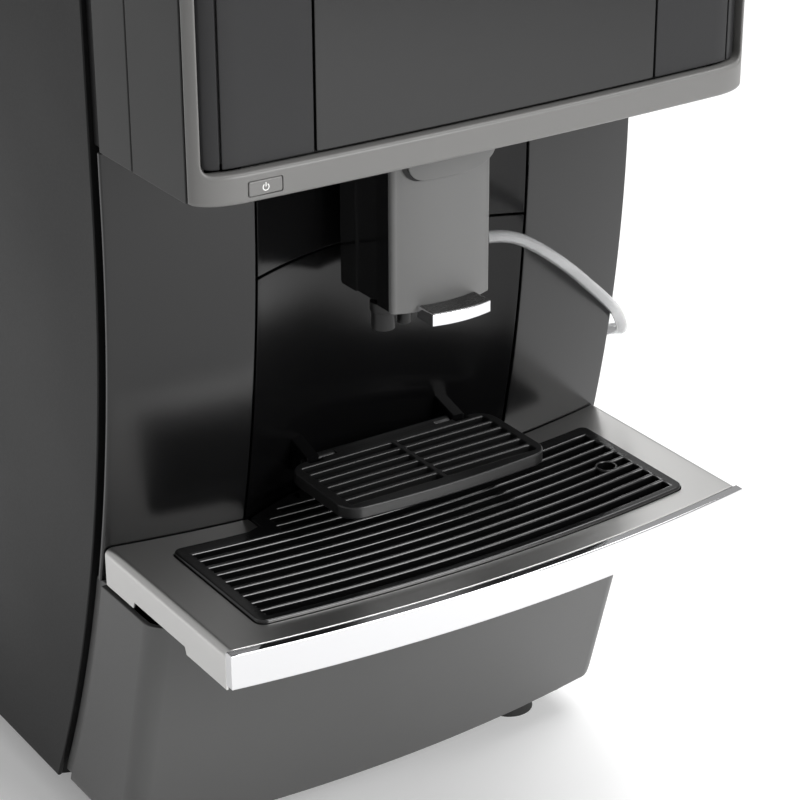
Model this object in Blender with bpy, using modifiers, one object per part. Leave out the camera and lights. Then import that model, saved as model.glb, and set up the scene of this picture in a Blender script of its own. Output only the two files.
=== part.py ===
"""A bean to cup coffee machine, built from separate parts. Metres, +Z up, front towards -Y."""

import math

import bmesh
import bpy
from mathutils import Vector

# Overall size: the machine stands on z = 0, centred on the origin in plan.
WIDTH = 0.303
DEPTH = 0.450
HEIGHT = 0.580
HALF_WIDTH = WIDTH / 2
FRONT_Y = -DEPTH / 2
BACK_Y = DEPTH / 2

# Clearances: FIT between fixed pieces that touch, RUN between pieces that slide past each other.
FIT = 0.0003
RUN = 0.0006
OVERRUN = 0.004
SHEET = 0.0025
RIGHT_ANGLE = math.pi / 2
ARC_STEPS = 8
WELD = 0.000001
SMOOTH_DEGREES = 35

# Levels: the tray and the head stand at these shares of the whole height.
FOOT_HEIGHT = 0.018
TRAY_LEVEL_SHARE = 0.33103448
HEAD_LEVEL_SHARE = 0.69396552
TRAY_Z = HEIGHT * TRAY_LEVEL_SHARE
HEAD_Z = HEIGHT * HEAD_LEVEL_SHARE
LID_HEIGHT = 0.024
HEAD_TOP_Z = HEIGHT - LID_HEIGHT
COVER_THICKNESS = 0.002
DECK_TOP_Z = HEAD_TOP_Z - COVER_THICKNESS

# Front line of the body: upright at the head, then an arc that falls back towards the base.
TRAY_BOW = 0.0124
TRAY_SIDE_GAP = 0.0005
TRAY_HALF = HALF_WIDTH - TRAY_SIDE_GAP
TRAY_CHORD_Y = FRONT_Y + TRAY_BOW
FRONT_SETBACK = 0.1039
FRONT_ARC_RADIUS = 0.790
KNEE_DROP = 0.0302
FRONT_ARC_RISE = HEAD_Z - TRAY_Z - KNEE_DROP
SHADOW_GAP = 0.0105

# Pillars and the hollow wall between them
PILLAR_INNER_X = 0.0786
PILLAR_BOW = 0.0124
PILLAR_WALL = 0.0025
PILLAR_RETURN = 0.012
PILLAR_FLANGE_INSET = 0.0055
PILLAR_FLANGE_X = HALF_WIDTH - PILLAR_FLANGE_INSET
BAY_DEPTH = 0.0186
BAY_WALL = 0.0025
BAY_SEAM_RISE = 0.1363
BAY_SEAM = 0.0006

# Tray support
SHELF_DROP = 0.0215
SHELF_THICKNESS = 0.002
SHELF_INSET = 0.0090
SHELF_HALF = HALF_WIDTH - SHELF_INSET
BULKHEAD_SETBACK = 0.1466
BULKHEAD_WALL = 0.002

COLLECTION = bpy.data.collections.new("bean_to_cup_coffee_machine")
CUTTERS = bpy.data.collections.new("cutters")


def clear_scene():
    for obj in list(bpy.data.objects):
        bpy.data.objects.remove(obj, do_unlink=True)
    bpy.context.scene.collection.children.link(COLLECTION)
    bpy.context.scene.collection.children.link(CUTTERS)
    CUTTERS.hide_render = True


def finish(name, colour, roughness, metallic=0.0, alpha=1.0):
    """A Principled material: base colour, roughness, metal and see-through share."""
    material = bpy.data.materials.new(name)
    material.use_nodes = True
    shader = material.node_tree.nodes["Principled BSDF"]
    shader.inputs["Base Color"].default_value = (*colour, 1.0)
    shader.inputs["Roughness"].default_value = roughness
    shader.inputs["Metallic"].default_value = metallic
    shader.inputs["Alpha"].default_value = alpha
    material.diffuse_color = (*colour, alpha)
    return material


SATIN_BLACK = finish("satin_black_plastic", (0.02, 0.02, 0.021), 0.32)
GLOSS_BLACK = finish("gloss_black_plastic", (0.008, 0.008, 0.009), 0.1)
ANTHRACITE = finish("anthracite_paint", (0.075, 0.073, 0.071), 0.38)
DARK_GREY = finish("dark_grey_textured_plastic", (0.055, 0.055, 0.055), 0.5)
STEEL = finish("brushed_steel", (0.6, 0.59, 0.57), 0.3, 1.0)
CHROME = finish("polished_chrome", (0.9, 0.9, 0.9), 0.05, 1.0)
ZINC = finish("zinc_plated_sheet", (0.45, 0.45, 0.44), 0.4, 1.0)
RUBBER = finish("black_rubber", (0.015, 0.015, 0.015), 0.8)
SILICONE = finish("clear_silicone", (0.85, 0.86, 0.86), 0.25, 0.0, 0.6)
SMOKED = finish("smoked_plastic", (0.05, 0.05, 0.05), 0.15, 0.0, 0.6)
BOARD_GREEN = finish("circuit_board", (0.02, 0.12, 0.05), 0.5)
ALUMINIUM = finish("cast_aluminium", (0.55, 0.56, 0.57), 0.45, 1.0)


def place(obj, material, smooth=True):
    """Puts an object in the machine's collection with its finish."""
    for collection in list(obj.users_collection):
        collection.objects.unlink(obj)
    COLLECTION.objects.link(obj)
    obj.data.materials.clear()
    obj.data.materials.append(material)
    if smooth:
        obj.data.shade_smooth()
        obj.data.set_sharp_from_angle(angle=math.radians(SMOOTH_DEGREES))
    return obj


def face_outwards(skin):
    """Points every face of a closed skin outwards, whatever the shape's hollows."""
    bmesh.ops.recalc_face_normals(skin, faces=skin.faces)
    if skin.calc_volume(signed=True) < 0:
        bmesh.ops.reverse_faces(skin, faces=skin.faces)


def loft(name, sections, material, ring=False):
    """Skins closed sections, each a list of (x, y, z); a ring joins the last section to the first."""
    mesh = bpy.data.meshes.new(name)
    skin = bmesh.new()
    rows = [[skin.verts.new(point) for point in section] for section in sections]
    count = len(rows[0])
    pairs = list(zip(rows, rows[1:]))
    if ring:
        pairs.append((rows[-1], rows[0]))
    for low, high in pairs:
        for i in range(count):
            j = (i + 1) % count
            skin.faces.new((low[i], low[j], high[j], high[i]))
    if not ring:
        skin.faces.new(rows[0])
        skin.faces.new(rows[-1])
    face_outwards(skin)
    skin.to_mesh(mesh)
    skin.free()
    return place(bpy.data.objects.new(name, mesh), material)


def prism(name, outlines, low, high, material, along="Z"):
    """A flat outline with any holes, filled and extruded from low to high along an axis."""
    curve = bpy.data.curves.new(name, "CURVE")
    curve.dimensions = "2D"
    curve.fill_mode = "BOTH"
    curve.extrude = (high - low) / 2
    for outline in outlines:
        spline = curve.splines.new("POLY")
        spline.points.add(len(outline) - 1)
        for point, (u, v) in zip(spline.points, outline):
            point.co = (u, v, 0, 1)
        spline.use_cyclic_u = True
    drawn = bpy.data.objects.new(name + "_outline", curve)
    COLLECTION.objects.link(drawn)
    middle = (low + high) / 2
    if along == "X":
        drawn.rotation_euler = (RIGHT_ANGLE, 0, RIGHT_ANGLE)
        drawn.location = (middle, 0, 0)
    elif along == "Y":
        drawn.rotation_euler = (RIGHT_ANGLE, 0, 0)
        drawn.location = (0, middle, 0)
    else:
        drawn.location = (0, 0, middle)
    bpy.context.view_layer.update()
    graph = bpy.context.evaluated_depsgraph_get()
    mesh = bpy.data.meshes.new_from_object(drawn.evaluated_get(graph))
    skin = bmesh.new()
    skin.from_mesh(mesh)
    bmesh.ops.remove_doubles(skin, verts=skin.verts, dist=WELD)
    face_outwards(skin)
    skin.to_mesh(mesh)
    skin.free()
    mesh.name = name
    obj = bpy.data.objects.new(name, mesh)
    obj.matrix_world = drawn.matrix_world
    bpy.data.objects.remove(drawn, do_unlink=True)
    return place(obj, material, smooth=False)


def block(name, low, high, material):
    """A box between two opposite corners."""
    size = [b - a for a, b in zip(low, high)]
    centre = [(a + b) / 2 for a, b in zip(low, high)]
    bpy.ops.mesh.primitive_cube_add(size=1, location=centre)
    obj = bpy.context.active_object
    obj.name = name
    obj.scale = size
    bpy.ops.object.transform_apply(location=False, rotation=False, scale=True)
    return place(obj, material, smooth=False)


def cylinder(name, centre, radius, length, material, along="Z", sides=24):
    turn = {"X": (0, RIGHT_ANGLE, 0), "Y": (RIGHT_ANGLE, 0, 0), "Z": (0, 0, 0)}[along]
    bpy.ops.mesh.primitive_cylinder_add(
        vertices=sides, radius=radius, depth=length, location=centre, rotation=turn
    )
    obj = bpy.context.active_object
    obj.name = name
    return place(obj, material)


def turned(name, profile, centre, material, steps=24, closed=False):
    """A profile of (radius, height) turned about the upright axis; it runs down its outer side."""
    mesh = bpy.data.meshes.new(name)
    edges = [(i, i + 1) for i in range(len(profile) - 1)]
    if closed:
        edges.append((len(profile) - 1, 0))
    mesh.from_pydata([(radius, 0, height) for radius, height in profile], edges, [])
    obj = bpy.data.objects.new(name, mesh)
    obj.location = centre
    screw = obj.modifiers.new("turn", "SCREW")
    screw.steps = steps
    screw.render_steps = steps
    screw.use_merge_vertices = True
    screw.merge_threshold = WELD
    return place(obj, material)


def boolean(obj, tool, operation):
    """Cuts or joins with another solid, which becomes a hidden helper."""
    modifier = obj.modifiers.new(operation.lower() + "_" + tool.name, "BOOLEAN")
    modifier.operation = operation
    modifier.object = tool
    modifier.solver = "EXACT"
    COLLECTION.objects.unlink(tool)
    CUTTERS.objects.link(tool)
    tool.hide_render = True
    tool.display_type = "WIRE"
    return obj


def cut(obj, tool):
    return boolean(obj, tool, "DIFFERENCE")


def join(obj, tool):
    return boolean(obj, tool, "UNION")


def soften(obj, width, segments=2, degrees=50):
    bevel = obj.modifiers.new("rounded_edges", "BEVEL")
    bevel.width = width
    bevel.segments = segments
    bevel.limit_method = "ANGLE"
    bevel.angle_limit = math.radians(degrees)
    bevel.use_clamp_overlap = True
    return obj


def joint_empty(name, position, pieces):
    """An empty on a joint's axis that carries the moving pieces."""
    empty = bpy.data.objects.new(name, None)
    empty.empty_display_size = SHADOW_GAP
    empty.location = position
    COLLECTION.objects.link(empty)
    bpy.context.view_layer.update()
    for piece in pieces:
        piece.parent = empty
        piece.matrix_parent_inverse = empty.matrix_world.inverted()
    return empty


def rounded_rectangle(low_u, low_v, high_u, high_v, radius, steps=4):
    """Corner arcs of a rectangle, anticlockwise from its lower right corner."""
    corners = (
        (high_u - radius, low_v + radius, -RIGHT_ANGLE),
        (high_u - radius, high_v - radius, 0),
        (low_u + radius, high_v - radius, RIGHT_ANGLE),
        (low_u + radius, low_v + radius, 2 * RIGHT_ANGLE),
    )
    points = []
    for u, v, start in corners:
        for i in range(steps + 1):
            angle = start + RIGHT_ANGLE * i / steps
            points.append((u + radius * math.cos(angle), v + radius * math.sin(angle)))
    return points


def spread(low, high, count):
    return [low + (high - low) * i / count for i in range(count + 1)]


def edge_y(z):
    """The front line of the body's sides at height z."""
    drop = max(0.0, TRAY_Z + FRONT_ARC_RISE - z)
    sagitta = FRONT_ARC_RADIUS - math.sqrt(FRONT_ARC_RADIUS**2 - drop**2)
    return TRAY_CHORD_Y + FRONT_SETBACK + sagitta


def pillar_y(x, z):
    """The pillars' faces bow forward towards the middle of the machine."""
    share = (HALF_WIDTH**2 - x**2) / (HALF_WIDTH**2 - PILLAR_INNER_X**2)
    return edge_y(z) - PILLAR_BOW * share


def bay_y(x, z):
    """The wall between the pillars is hollow, deepest in the middle."""
    return pillar_y(PILLAR_INNER_X, z) + BAY_DEPTH * (1 - (x / PILLAR_INNER_X) ** 2)


def tray_front_y(x):
    return TRAY_CHORD_Y - TRAY_BOW * (1 - (x / TRAY_HALF) ** 2)


def front_rise(x):
    """How far an arc parallel to the tray's front lies behind its middle at x."""
    return TRAY_BOW * (x / TRAY_HALF) ** 2


clear_scene()


# Base pan, feet, side panels and rear panel

PAN_HALF = HALF_WIDTH - SHEET - FIT
PAN_FRONT_INSET = 0.0099
PAN_FRONT_HALF = HALF_WIDTH - PAN_FRONT_INSET
PAN_CORNER = 0.014
PAN_FRONT_SETBACK = 0.1206
PAN_FLOOR = 0.004
PAN_HEIGHT = 0.016
PAN_WALL = 0.003
PAN_SHOULDER_Y = edge_y(FOOT_HEIGHT) + SHADOW_GAP
REAR_WALL = 0.0025
RAIL_INSET = 0.0515
RAIL_X = HALF_WIDTH - RAIL_INSET
RAIL_WIDTH = 0.008


def pan_outline(inset):
    front = TRAY_CHORD_Y + PAN_FRONT_SETBACK + inset
    back = BACK_Y - REAR_WALL - FIT - inset
    shoulder = PAN_SHOULDER_Y + inset
    wide = PAN_HALF - inset
    narrow = PAN_FRONT_HALF - inset
    return [
        (-narrow, front + PAN_CORNER),
        (-narrow + PAN_CORNER, front),
        (narrow - PAN_CORNER, front),
        (narrow, front + PAN_CORNER),
        (narrow, shoulder),
        (wide, shoulder + PAN_WALL),
        (wide, back),
        (-wide, back),
        (-wide, shoulder + PAN_WALL),
        (-narrow, shoulder),
    ]


def make_base_pan():
    top = FOOT_HEIGHT + PAN_HEIGHT
    pan = prism("base_pan", [pan_outline(0)], FOOT_HEIGHT, top, ZINC)
    floor = FOOT_HEIGHT + PAN_FLOOR
    hollow = prism("pan_hollow", [pan_outline(PAN_WALL)], floor, top + OVERRUN, ZINC)
    cut(pan, hollow)
    for side in (-1, 1):
        rail_x = side * RAIL_X
        rail_front = TRAY_CHORD_Y + PAN_FRONT_SETBACK + 2 * PAN_WALL
        low = (rail_x - RAIL_WIDTH / 2, rail_front, FOOT_HEIGHT + PAN_FLOOR / 2)
        high = (rail_x + RAIL_WIDTH / 2, DRAWER_BACK_Y, top - FIT)
        rail = block("drawer_rail", low, high, ZINC)
        join(pan, rail)
    return pan


FOOT_RADIUS = 0.014
FOOT_TOP_RADIUS = 0.0115
FOOT_EDGE = 0.0012
FOOT_SIDE_INSET = 0.0395
FOOT_X = HALF_WIDTH - FOOT_SIDE_INSET
FOOT_INSET = 0.026


def make_feet():
    profile = [
        (0, FOOT_HEIGHT - FIT),
        (FOOT_TOP_RADIUS, FOOT_HEIGHT - FIT),
        (FOOT_RADIUS, FOOT_EDGE),
        (FOOT_RADIUS - FOOT_EDGE, 0),
        (0, 0),
    ]
    front_row = TRAY_CHORD_Y + PAN_FRONT_SETBACK + FOOT_INSET
    rows = (("front", front_row), ("rear", BACK_Y - FOOT_INSET))
    for row, y in rows:
        for side, x in (("left", -FOOT_X), ("right", FOOT_X)):
            turned("foot_%s_%s" % (row, side), profile, (x, y, 0), RUBBER, steps=20)


SIDE_BOTTOM_Z = 0.020
FLANGE_INSET = 0.0125
FLANGE_X = HALF_WIDTH - FLANGE_INSET
FLANGE_WALL = 0.0025
FLANGE_BOTTOM_Z = FOOT_HEIGHT + PAN_HEIGHT + SHEET


def front_arc(offset, bottom, top, steps=14):
    """Points (y, z) down the body's front line, moved back by offset."""
    knee = TRAY_Z + FRONT_ARC_RISE
    heights = [top] + spread(knee, bottom, steps)
    return [(edge_y(z) + offset, z) for z in heights]


def make_side_panel(side, name):
    top = DECK_TOP_Z - FIT
    arc = front_arc(SHADOW_GAP, SIDE_BOTTOM_Z, top)
    outline = arc + [(BACK_Y, SIDE_BOTTOM_Z), (BACK_Y, top)]
    outer = side * HALF_WIDTH
    inner = side * (HALF_WIDTH - SHEET)
    panel = prism(name, [outline], min(inner, outer), max(inner, outer), SATIN_BLACK, "X")
    face = front_arc(SHADOW_GAP, FLANGE_BOTTOM_Z, top)
    back = [(y + FLANGE_WALL, z) for y, z in reversed(face)]
    ends = sorted((side * FLANGE_X, side * (HALF_WIDTH - SHEET / 2)))
    flange = prism(name + "_flange", [face + back], ends[0], ends[1], SATIN_BLACK, "X")
    return join(panel, flange)


VENT_COUNT = 7
VENT_LENGTH = 0.062
VENT_HEIGHT = 0.004
VENT_PITCH = 0.0085
VENT_INSET = 0.0635
VENT_X = HALF_WIDTH - VENT_INSET
VENT_BOTTOM_Z = 0.228
TANK_VENT_Z = 0.110
SOCKET_INSET = 0.0465
SOCKET_X = HALF_WIDTH - SOCKET_INSET
SOCKET_Z = 0.075
SOCKET_WIDTH = 0.030
SOCKET_HEIGHT = 0.024
SWITCH_PITCH = 0.039
SWITCH_X = SOCKET_X - SWITCH_PITCH
SWITCH_WIDTH = 0.015
SWITCH_HEIGHT = 0.022
REAR_CORNER = 0.002


def rear_hole(x, z, width, height, radius):
    low = (x - width / 2, z - height / 2)
    high = (x + width / 2, z + height / 2)
    return rounded_rectangle(*low, *high, radius, steps=2)


def make_rear_panel():
    half = HALF_WIDTH - SHEET - FIT
    bottom = FOOT_HEIGHT + FIT
    top = DECK_TOP_Z - FIT
    outlines = [[(-half, bottom), (half, bottom), (half, top), (-half, top)]]
    corner = REAR_CORNER - FIT
    for i in range(VENT_COUNT):
        rise = i * VENT_PITCH
        outlines.append(rear_hole(VENT_X, VENT_BOTTOM_Z + rise, VENT_LENGTH, VENT_HEIGHT, corner))
        outlines.append(rear_hole(-VENT_X, TANK_VENT_Z + rise, VENT_LENGTH, VENT_HEIGHT, corner))
    socket_size = (SOCKET_WIDTH + 2 * FIT, SOCKET_HEIGHT + 2 * FIT)
    outlines.append(rear_hole(SOCKET_X, SOCKET_Z, *socket_size, REAR_CORNER))
    switch_size = (SWITCH_WIDTH + 2 * RUN, SWITCH_HEIGHT + 4 * RUN)
    outlines.append(rear_hole(SWITCH_X, SOCKET_Z, *switch_size, REAR_CORNER))
    return prism("rear_panel", outlines, BACK_Y - REAR_WALL, BACK_Y, SATIN_BLACK, "Y")


SOCKET_DEPTH = 0.026
SOCKET_WALL = 0.003
SWITCH_DEPTH = 0.012
SWITCH_PIVOT_DEPTH = 0.006
SWITCH_PROUD = 0.0012


def make_mains_inlet():
    """A recessed three-pin inlet that passes through the rear panel."""
    half_w = SOCKET_WIDTH / 2
    half_h = SOCKET_HEIGHT / 2
    outline = rear_hole(SOCKET_X, SOCKET_Z, SOCKET_WIDTH, SOCKET_HEIGHT, REAR_CORNER)
    inlet = prism("mains_inlet", [outline], BACK_Y - SOCKET_DEPTH, BACK_Y - FIT, GLOSS_BLACK, "Y")
    clear_w = half_w - SOCKET_WALL
    clear_h = half_h - SOCKET_WALL
    low = (SOCKET_X - clear_w, BACK_Y - SOCKET_DEPTH + SOCKET_WALL, SOCKET_Z - clear_h)
    high = (SOCKET_X + clear_w, BACK_Y + OVERRUN, SOCKET_Z + clear_h)
    cut(inlet, block("inlet_recess", low, high, GLOSS_BLACK))
    return inlet


def make_main_switch():
    """A rocker whose face is two flats that meet at the middle, on a pin through the panel's plane."""
    half = SWITCH_HEIGHT / 2
    back = BACK_Y - SWITCH_DEPTH
    face = BACK_Y - RUN
    outline = [
        (back, SOCKET_Z - half / 2),
        (face, SOCKET_Z - half),
        (face - SWITCH_PROUD, SOCKET_Z),
        (face, SOCKET_Z + half),
        (back, SOCKET_Z + half / 2),
    ]
    low = SWITCH_X - SWITCH_WIDTH / 2
    rocker = prism("main_switch", [outline], low, low + SWITCH_WIDTH, GLOSS_BLACK, "X")
    pivot = (SWITCH_X, BACK_Y - SWITCH_PIVOT_DEPTH, SOCKET_Z)
    joint_empty("main_switch_pivot", pivot, [rocker])
    return rocker


# Front bulkhead, tray shelf and middle deck carry everything in front and inside

BULKHEAD_Y = TRAY_CHORD_Y + BULKHEAD_SETBACK
SHELF_TOP_Z = TRAY_Z - SHELF_DROP
SHELF_FRONT_SETBACK = 0.0765
SHELF_BOW = 0.0124
SHELF_NECK = FLANGE_X - RUN
BRACKET_GAP = 0.0012


def make_tray_shelf():
    shoulder = edge_y(SHELF_TOP_Z) + SHADOW_GAP
    front = []
    for x in spread(-SHELF_HALF, SHELF_HALF, ARC_STEPS):
        bow = SHELF_BOW * (1 - (x / SHELF_HALF) ** 2)
        front.append((x, TRAY_CHORD_Y + SHELF_FRONT_SETBACK - bow))
    flange_front = shoulder - BRACKET_GAP
    flange_back = shoulder + FLANGE_WALL + BRACKET_GAP
    outline = front + [
        (SHELF_HALF, flange_front),
        (SHELF_NECK, flange_front),
        (SHELF_NECK, flange_back),
        (PAN_HALF, flange_back),
        (PAN_HALF, BULKHEAD_Y + 2 * SHADOW_GAP),
        (-PAN_HALF, BULKHEAD_Y + 2 * SHADOW_GAP),
        (-PAN_HALF, flange_back),
        (-SHELF_NECK, flange_back),
        (-SHELF_NECK, flange_front),
        (-SHELF_HALF, flange_front),
    ]
    return prism("tray_shelf", [outline], SHELF_TOP_Z - SHELF_THICKNESS, SHELF_TOP_Z, ZINC)


def make_bulkhead():
    low = (-PAN_HALF, BULKHEAD_Y, SHELF_TOP_Z + FIT)
    high = (PAN_HALF, BULKHEAD_Y + BULKHEAD_WALL, DECK_TOP_Z - FIT)
    return block("front_bulkhead", low, high, ZINC)


DECK_DROP = 0.063
DECK_Z = HEAD_Z - DECK_DROP
DECK_THICKNESS = 0.003
DECK_LEFT_X = -0.040
CHUTE_X = -0.002
CHUTE_SETBACK = 0.040
CHUTE_Y = BULKHEAD_Y + CHUTE_SETBACK
CHUTE_HALF_X = 0.024
CHUTE_HALF_Y = 0.017
CHUTE_WALL = 0.002


def make_middle_deck():
    outline = [
        (DECK_LEFT_X, BULKHEAD_Y + BULKHEAD_WALL + FIT),
        (PAN_HALF, BULKHEAD_Y + BULKHEAD_WALL + FIT),
        (PAN_HALF, BACK_Y - REAR_WALL - FIT),
        (DECK_LEFT_X, BACK_Y - REAR_WALL - FIT),
    ]
    hole = rounded_rectangle(
        CHUTE_X - CHUTE_HALF_X - FIT,
        CHUTE_Y - CHUTE_HALF_Y - FIT,
        CHUTE_X + CHUTE_HALF_X + FIT,
        CHUTE_Y + CHUTE_HALF_Y + FIT,
        CHUTE_WALL,
        steps=2,
    )
    return prism("middle_deck", [outline, hole], DECK_Z, DECK_Z + DECK_THICKNESS, ZINC)


# Pillars and the hollow wall of the cup bay

PILLAR_LEVELS = 12
PILLAR_STEPS = 6


def pillar_section(side, z):
    """One closed section: inner return, bowed face, plain outer edge and the flange behind it."""
    xs = spread(PILLAR_INNER_X + FIT, HALF_WIDTH, PILLAR_STEPS)
    inner_x = xs[0]
    face = [(x, pillar_y(x, z)) for x in xs]
    flange_inner = PILLAR_FLANGE_X - PILLAR_WALL
    flange_back = edge_y(z) + SHADOW_GAP - FIT
    back_xs = spread(flange_inner, inner_x + PILLAR_WALL, PILLAR_STEPS - 1)
    points = [(inner_x, pillar_y(inner_x, z) + PILLAR_RETURN)]
    points += face
    points.append((HALF_WIDTH, edge_y(z) + PILLAR_WALL))
    points.append((PILLAR_FLANGE_X, pillar_y(PILLAR_FLANGE_X, z) + PILLAR_WALL))
    points.append((PILLAR_FLANGE_X, flange_back))
    points.append((flange_inner, flange_back))
    points += [(x, pillar_y(x, z) + PILLAR_WALL) for x in back_xs]
    points.append((inner_x + PILLAR_WALL, pillar_y(inner_x, z) + PILLAR_RETURN))
    return [(side * x, y, z) for x, y in points]


def make_pillar(side, name):
    bottom = SHELF_TOP_Z + FIT
    knee = TRAY_Z + FRONT_ARC_RISE
    levels = spread(bottom, knee, PILLAR_LEVELS) + [HEAD_Z - FIT]
    return loft(name, [pillar_section(side, z) for z in levels], SATIN_BLACK)


def bay_panel(name, bottom, top, material):
    levels = spread(bottom, top, PILLAR_LEVELS // 2)
    xs = spread(-PILLAR_INNER_X, PILLAR_INNER_X, 2 * ARC_STEPS)
    sections = []
    for z in levels:
        face = [(x, bay_y(x, z), z) for x in xs]
        back = [(x, y + BAY_WALL, height) for x, y, height in reversed(face)]
        sections.append(face + back)
    return loft(name, sections, material)


PLATFORM_HALF = 0.0604
LUG_INSET = 0.0164
LUG_X = PLATFORM_HALF - LUG_INSET
LUG_WIDTH = 0.007
LUG_HEIGHT = 0.010
LUG_TIP = 0.0045
PLATFORM_TOP_RISE = 0.0289
PLATFORM_THICKNESS = 0.0066
PLATFORM_AXIS_Z = TRAY_Z + PLATFORM_TOP_RISE - PLATFORM_THICKNESS / 2
PLATFORM_AXIS_SETBACK = 0.1060
PLATFORM_AXIS_Y = TRAY_CHORD_Y + PLATFORM_AXIS_SETBACK
PIN_RADIUS = 0.0018
PIN_CLEARANCE = 0.0002
PIN_SIDES = 16


def make_bay_panels():
    seam = TRAY_Z + BAY_SEAM_RISE
    bay_panel("bay_upper_panel", seam + BAY_SEAM / 2, HEAD_Z - FIT, SATIN_BLACK)
    lower = bay_panel("bay_lower_panel", SHELF_TOP_Z + FIT, seam - BAY_SEAM / 2, GLOSS_BLACK)
    for side in (-1, 1):
        arm_back = bay_y(LUG_X, PLATFORM_AXIS_Z) + BAY_WALL / 2
        arm = [
            (PLATFORM_AXIS_Y - LUG_TIP, PLATFORM_AXIS_Z - LUG_TIP),
            (PLATFORM_AXIS_Y - LUG_TIP, PLATFORM_AXIS_Z + LUG_TIP),
            (arm_back, PLATFORM_AXIS_Z + LUG_HEIGHT),
            (arm_back, PLATFORM_AXIS_Z - LUG_HEIGHT),
        ]
        low = side * LUG_X - LUG_WIDTH / 2
        lug = prism("platform_lug", [arm], low, low + LUG_WIDTH, GLOSS_BLACK, "X")
        join(lower, lug)
        centre = (side * LUG_X, PLATFORM_AXIS_Y, PLATFORM_AXIS_Z)
        radius = PIN_RADIUS + PIN_CLEARANCE
        length = LUG_WIDTH + 2 * FIT
        cut(lower, cylinder("pin_hole", centre, radius, length, GLOSS_BLACK, "X", PIN_SIDES))
    return lower


# Head: bezel, side covers, underside, inset panels, display and power button

HEAD_SETBACK = 0.0073
HEAD_BOW = 0.0036
HEAD_CORNER_X = 0.024
HEAD_CORNER_Y = 0.0126
HEAD_SIDE_SETBACK = HEAD_SETBACK + HEAD_BOW + HEAD_CORNER_Y
BEZEL_DEPTH = 0.008
BEZEL_BOTTOM = 0.0140
BEZEL_TOP = 0.0140
BEZEL_SIDE = 0.0040
BEZEL_CORNER = 0.0036
BEZEL_OPENING_HALF = HALF_WIDTH - BEZEL_SIDE
PANEL_SETBACK = 0.0048
PANEL_THICKNESS = 0.0028
PANEL_CORNER = 0.003
PANEL_END_SETBACK = 0.0225
PANEL_GROOVE_INSET = 0.0137
PANEL_GROOVE_WIDTH = 0.0010
PANEL_GROOVE_DEPTH = 0.0020
PANEL_GAP = 0.0012
INSET_PANEL_WIDTH = 0.0547
INSET_SEAM_X = BEZEL_OPENING_HALF - INSET_PANEL_WIDTH
BUTTON_INSET = 0.0311
BUTTON_X = BUTTON_INSET - HALF_WIDTH
BUTTON_RISE = 0.0063
BUTTON_WIDTH = 0.0166
BUTTON_HEIGHT = 0.0066
BUTTON_DEPTH = 0.006
BUTTON_CLEARANCE = 0.0003
BUTTON_CORNER = 0.0009
CARRIER_DEPTH = 0.0028
CARRIER_FRAME = 0.012
BOARD_THICKNESS = 0.0016
UNDERSIDE_RECESS = 0.001
UNDERSIDE_THICKNESS = 0.003
SIDE_SEAM_SETBACK = 0.072
GROOVE = 0.0008
SPOUT_HOLE_BACK = 0.1060


def head_y(x):
    return TRAY_CHORD_Y + HEAD_SETBACK + HEAD_BOW * (x / HALF_WIDTH) ** 2


def head_front(inset):
    """Plan points of the head's front from its left side round both corners to its right side."""
    centre_x = HALF_WIDTH - HEAD_CORNER_X
    centre_y = head_y(centre_x) + HEAD_CORNER_Y
    corner = []
    for i in range(ARC_STEPS + 1):
        angle = RIGHT_ANGLE * i / ARC_STEPS
        x = centre_x + (HEAD_CORNER_X - inset) * math.cos(angle)
        corner.append((x, centre_y - (HEAD_CORNER_Y - inset) * math.sin(angle)))
    middle = [(x, head_y(x) + inset) for x in spread(-centre_x, centre_x, ARC_STEPS)[1:-1]]
    return [(-x, y) for x, y in corner] + middle + corner[::-1]


def make_head_frame():
    """The bezel: a bowed front with round corners, cut open for the display and its side panels."""
    end_y = TRAY_CHORD_Y + HEAD_SIDE_SETBACK
    outer = head_front(0)
    inner = head_front(BEZEL_DEPTH)
    outline = [(-HALF_WIDTH, end_y)] + outer + [(HALF_WIDTH, end_y)]
    inner_x = HALF_WIDTH - BEZEL_DEPTH
    inside = [(inner_x, end_y)] + inner[::-1] + [(-inner_x, end_y)]
    levels = [[(x, y, z) for x, y in outline + inside] for z in (HEAD_Z, HEAD_TOP_Z)]
    frame = loft("head_frame", levels, ANTHRACITE)
    opening = rounded_rectangle(
        -BEZEL_OPENING_HALF,
        HEAD_Z + BEZEL_BOTTOM,
        BEZEL_OPENING_HALF,
        HEAD_TOP_Z - BEZEL_TOP,
        BEZEL_CORNER,
    )
    deep = TRAY_CHORD_Y + HEAD_SIDE_SETBACK + OVERRUN
    cut(frame, prism("bezel_opening", [opening], FRONT_Y, deep, ANTHRACITE, "Y"))
    pocket = button_outline(BUTTON_CLEARANCE)
    cut(frame, prism("button_hole", [pocket], FRONT_Y, deep, ANTHRACITE, "Y"))
    return frame


def button_outline(grow):
    half_w = BUTTON_WIDTH / 2 + grow
    half_h = BUTTON_HEIGHT / 2 + grow
    z = HEAD_Z + BUTTON_RISE
    low = (BUTTON_X - half_w, z - half_h)
    high = (BUTTON_X + half_w, z + half_h)
    return rounded_rectangle(*low, *high, BUTTON_CORNER, steps=2)


def make_power_button():
    face = head_y(BUTTON_X) - FIT
    button = prism("power_button", [button_outline(0)], face, face + BUTTON_DEPTH, ANTHRACITE, "Y")
    joint_empty("power_button_axis", (BUTTON_X, face, HEAD_Z + BUTTON_RISE), [button])
    return button


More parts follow.
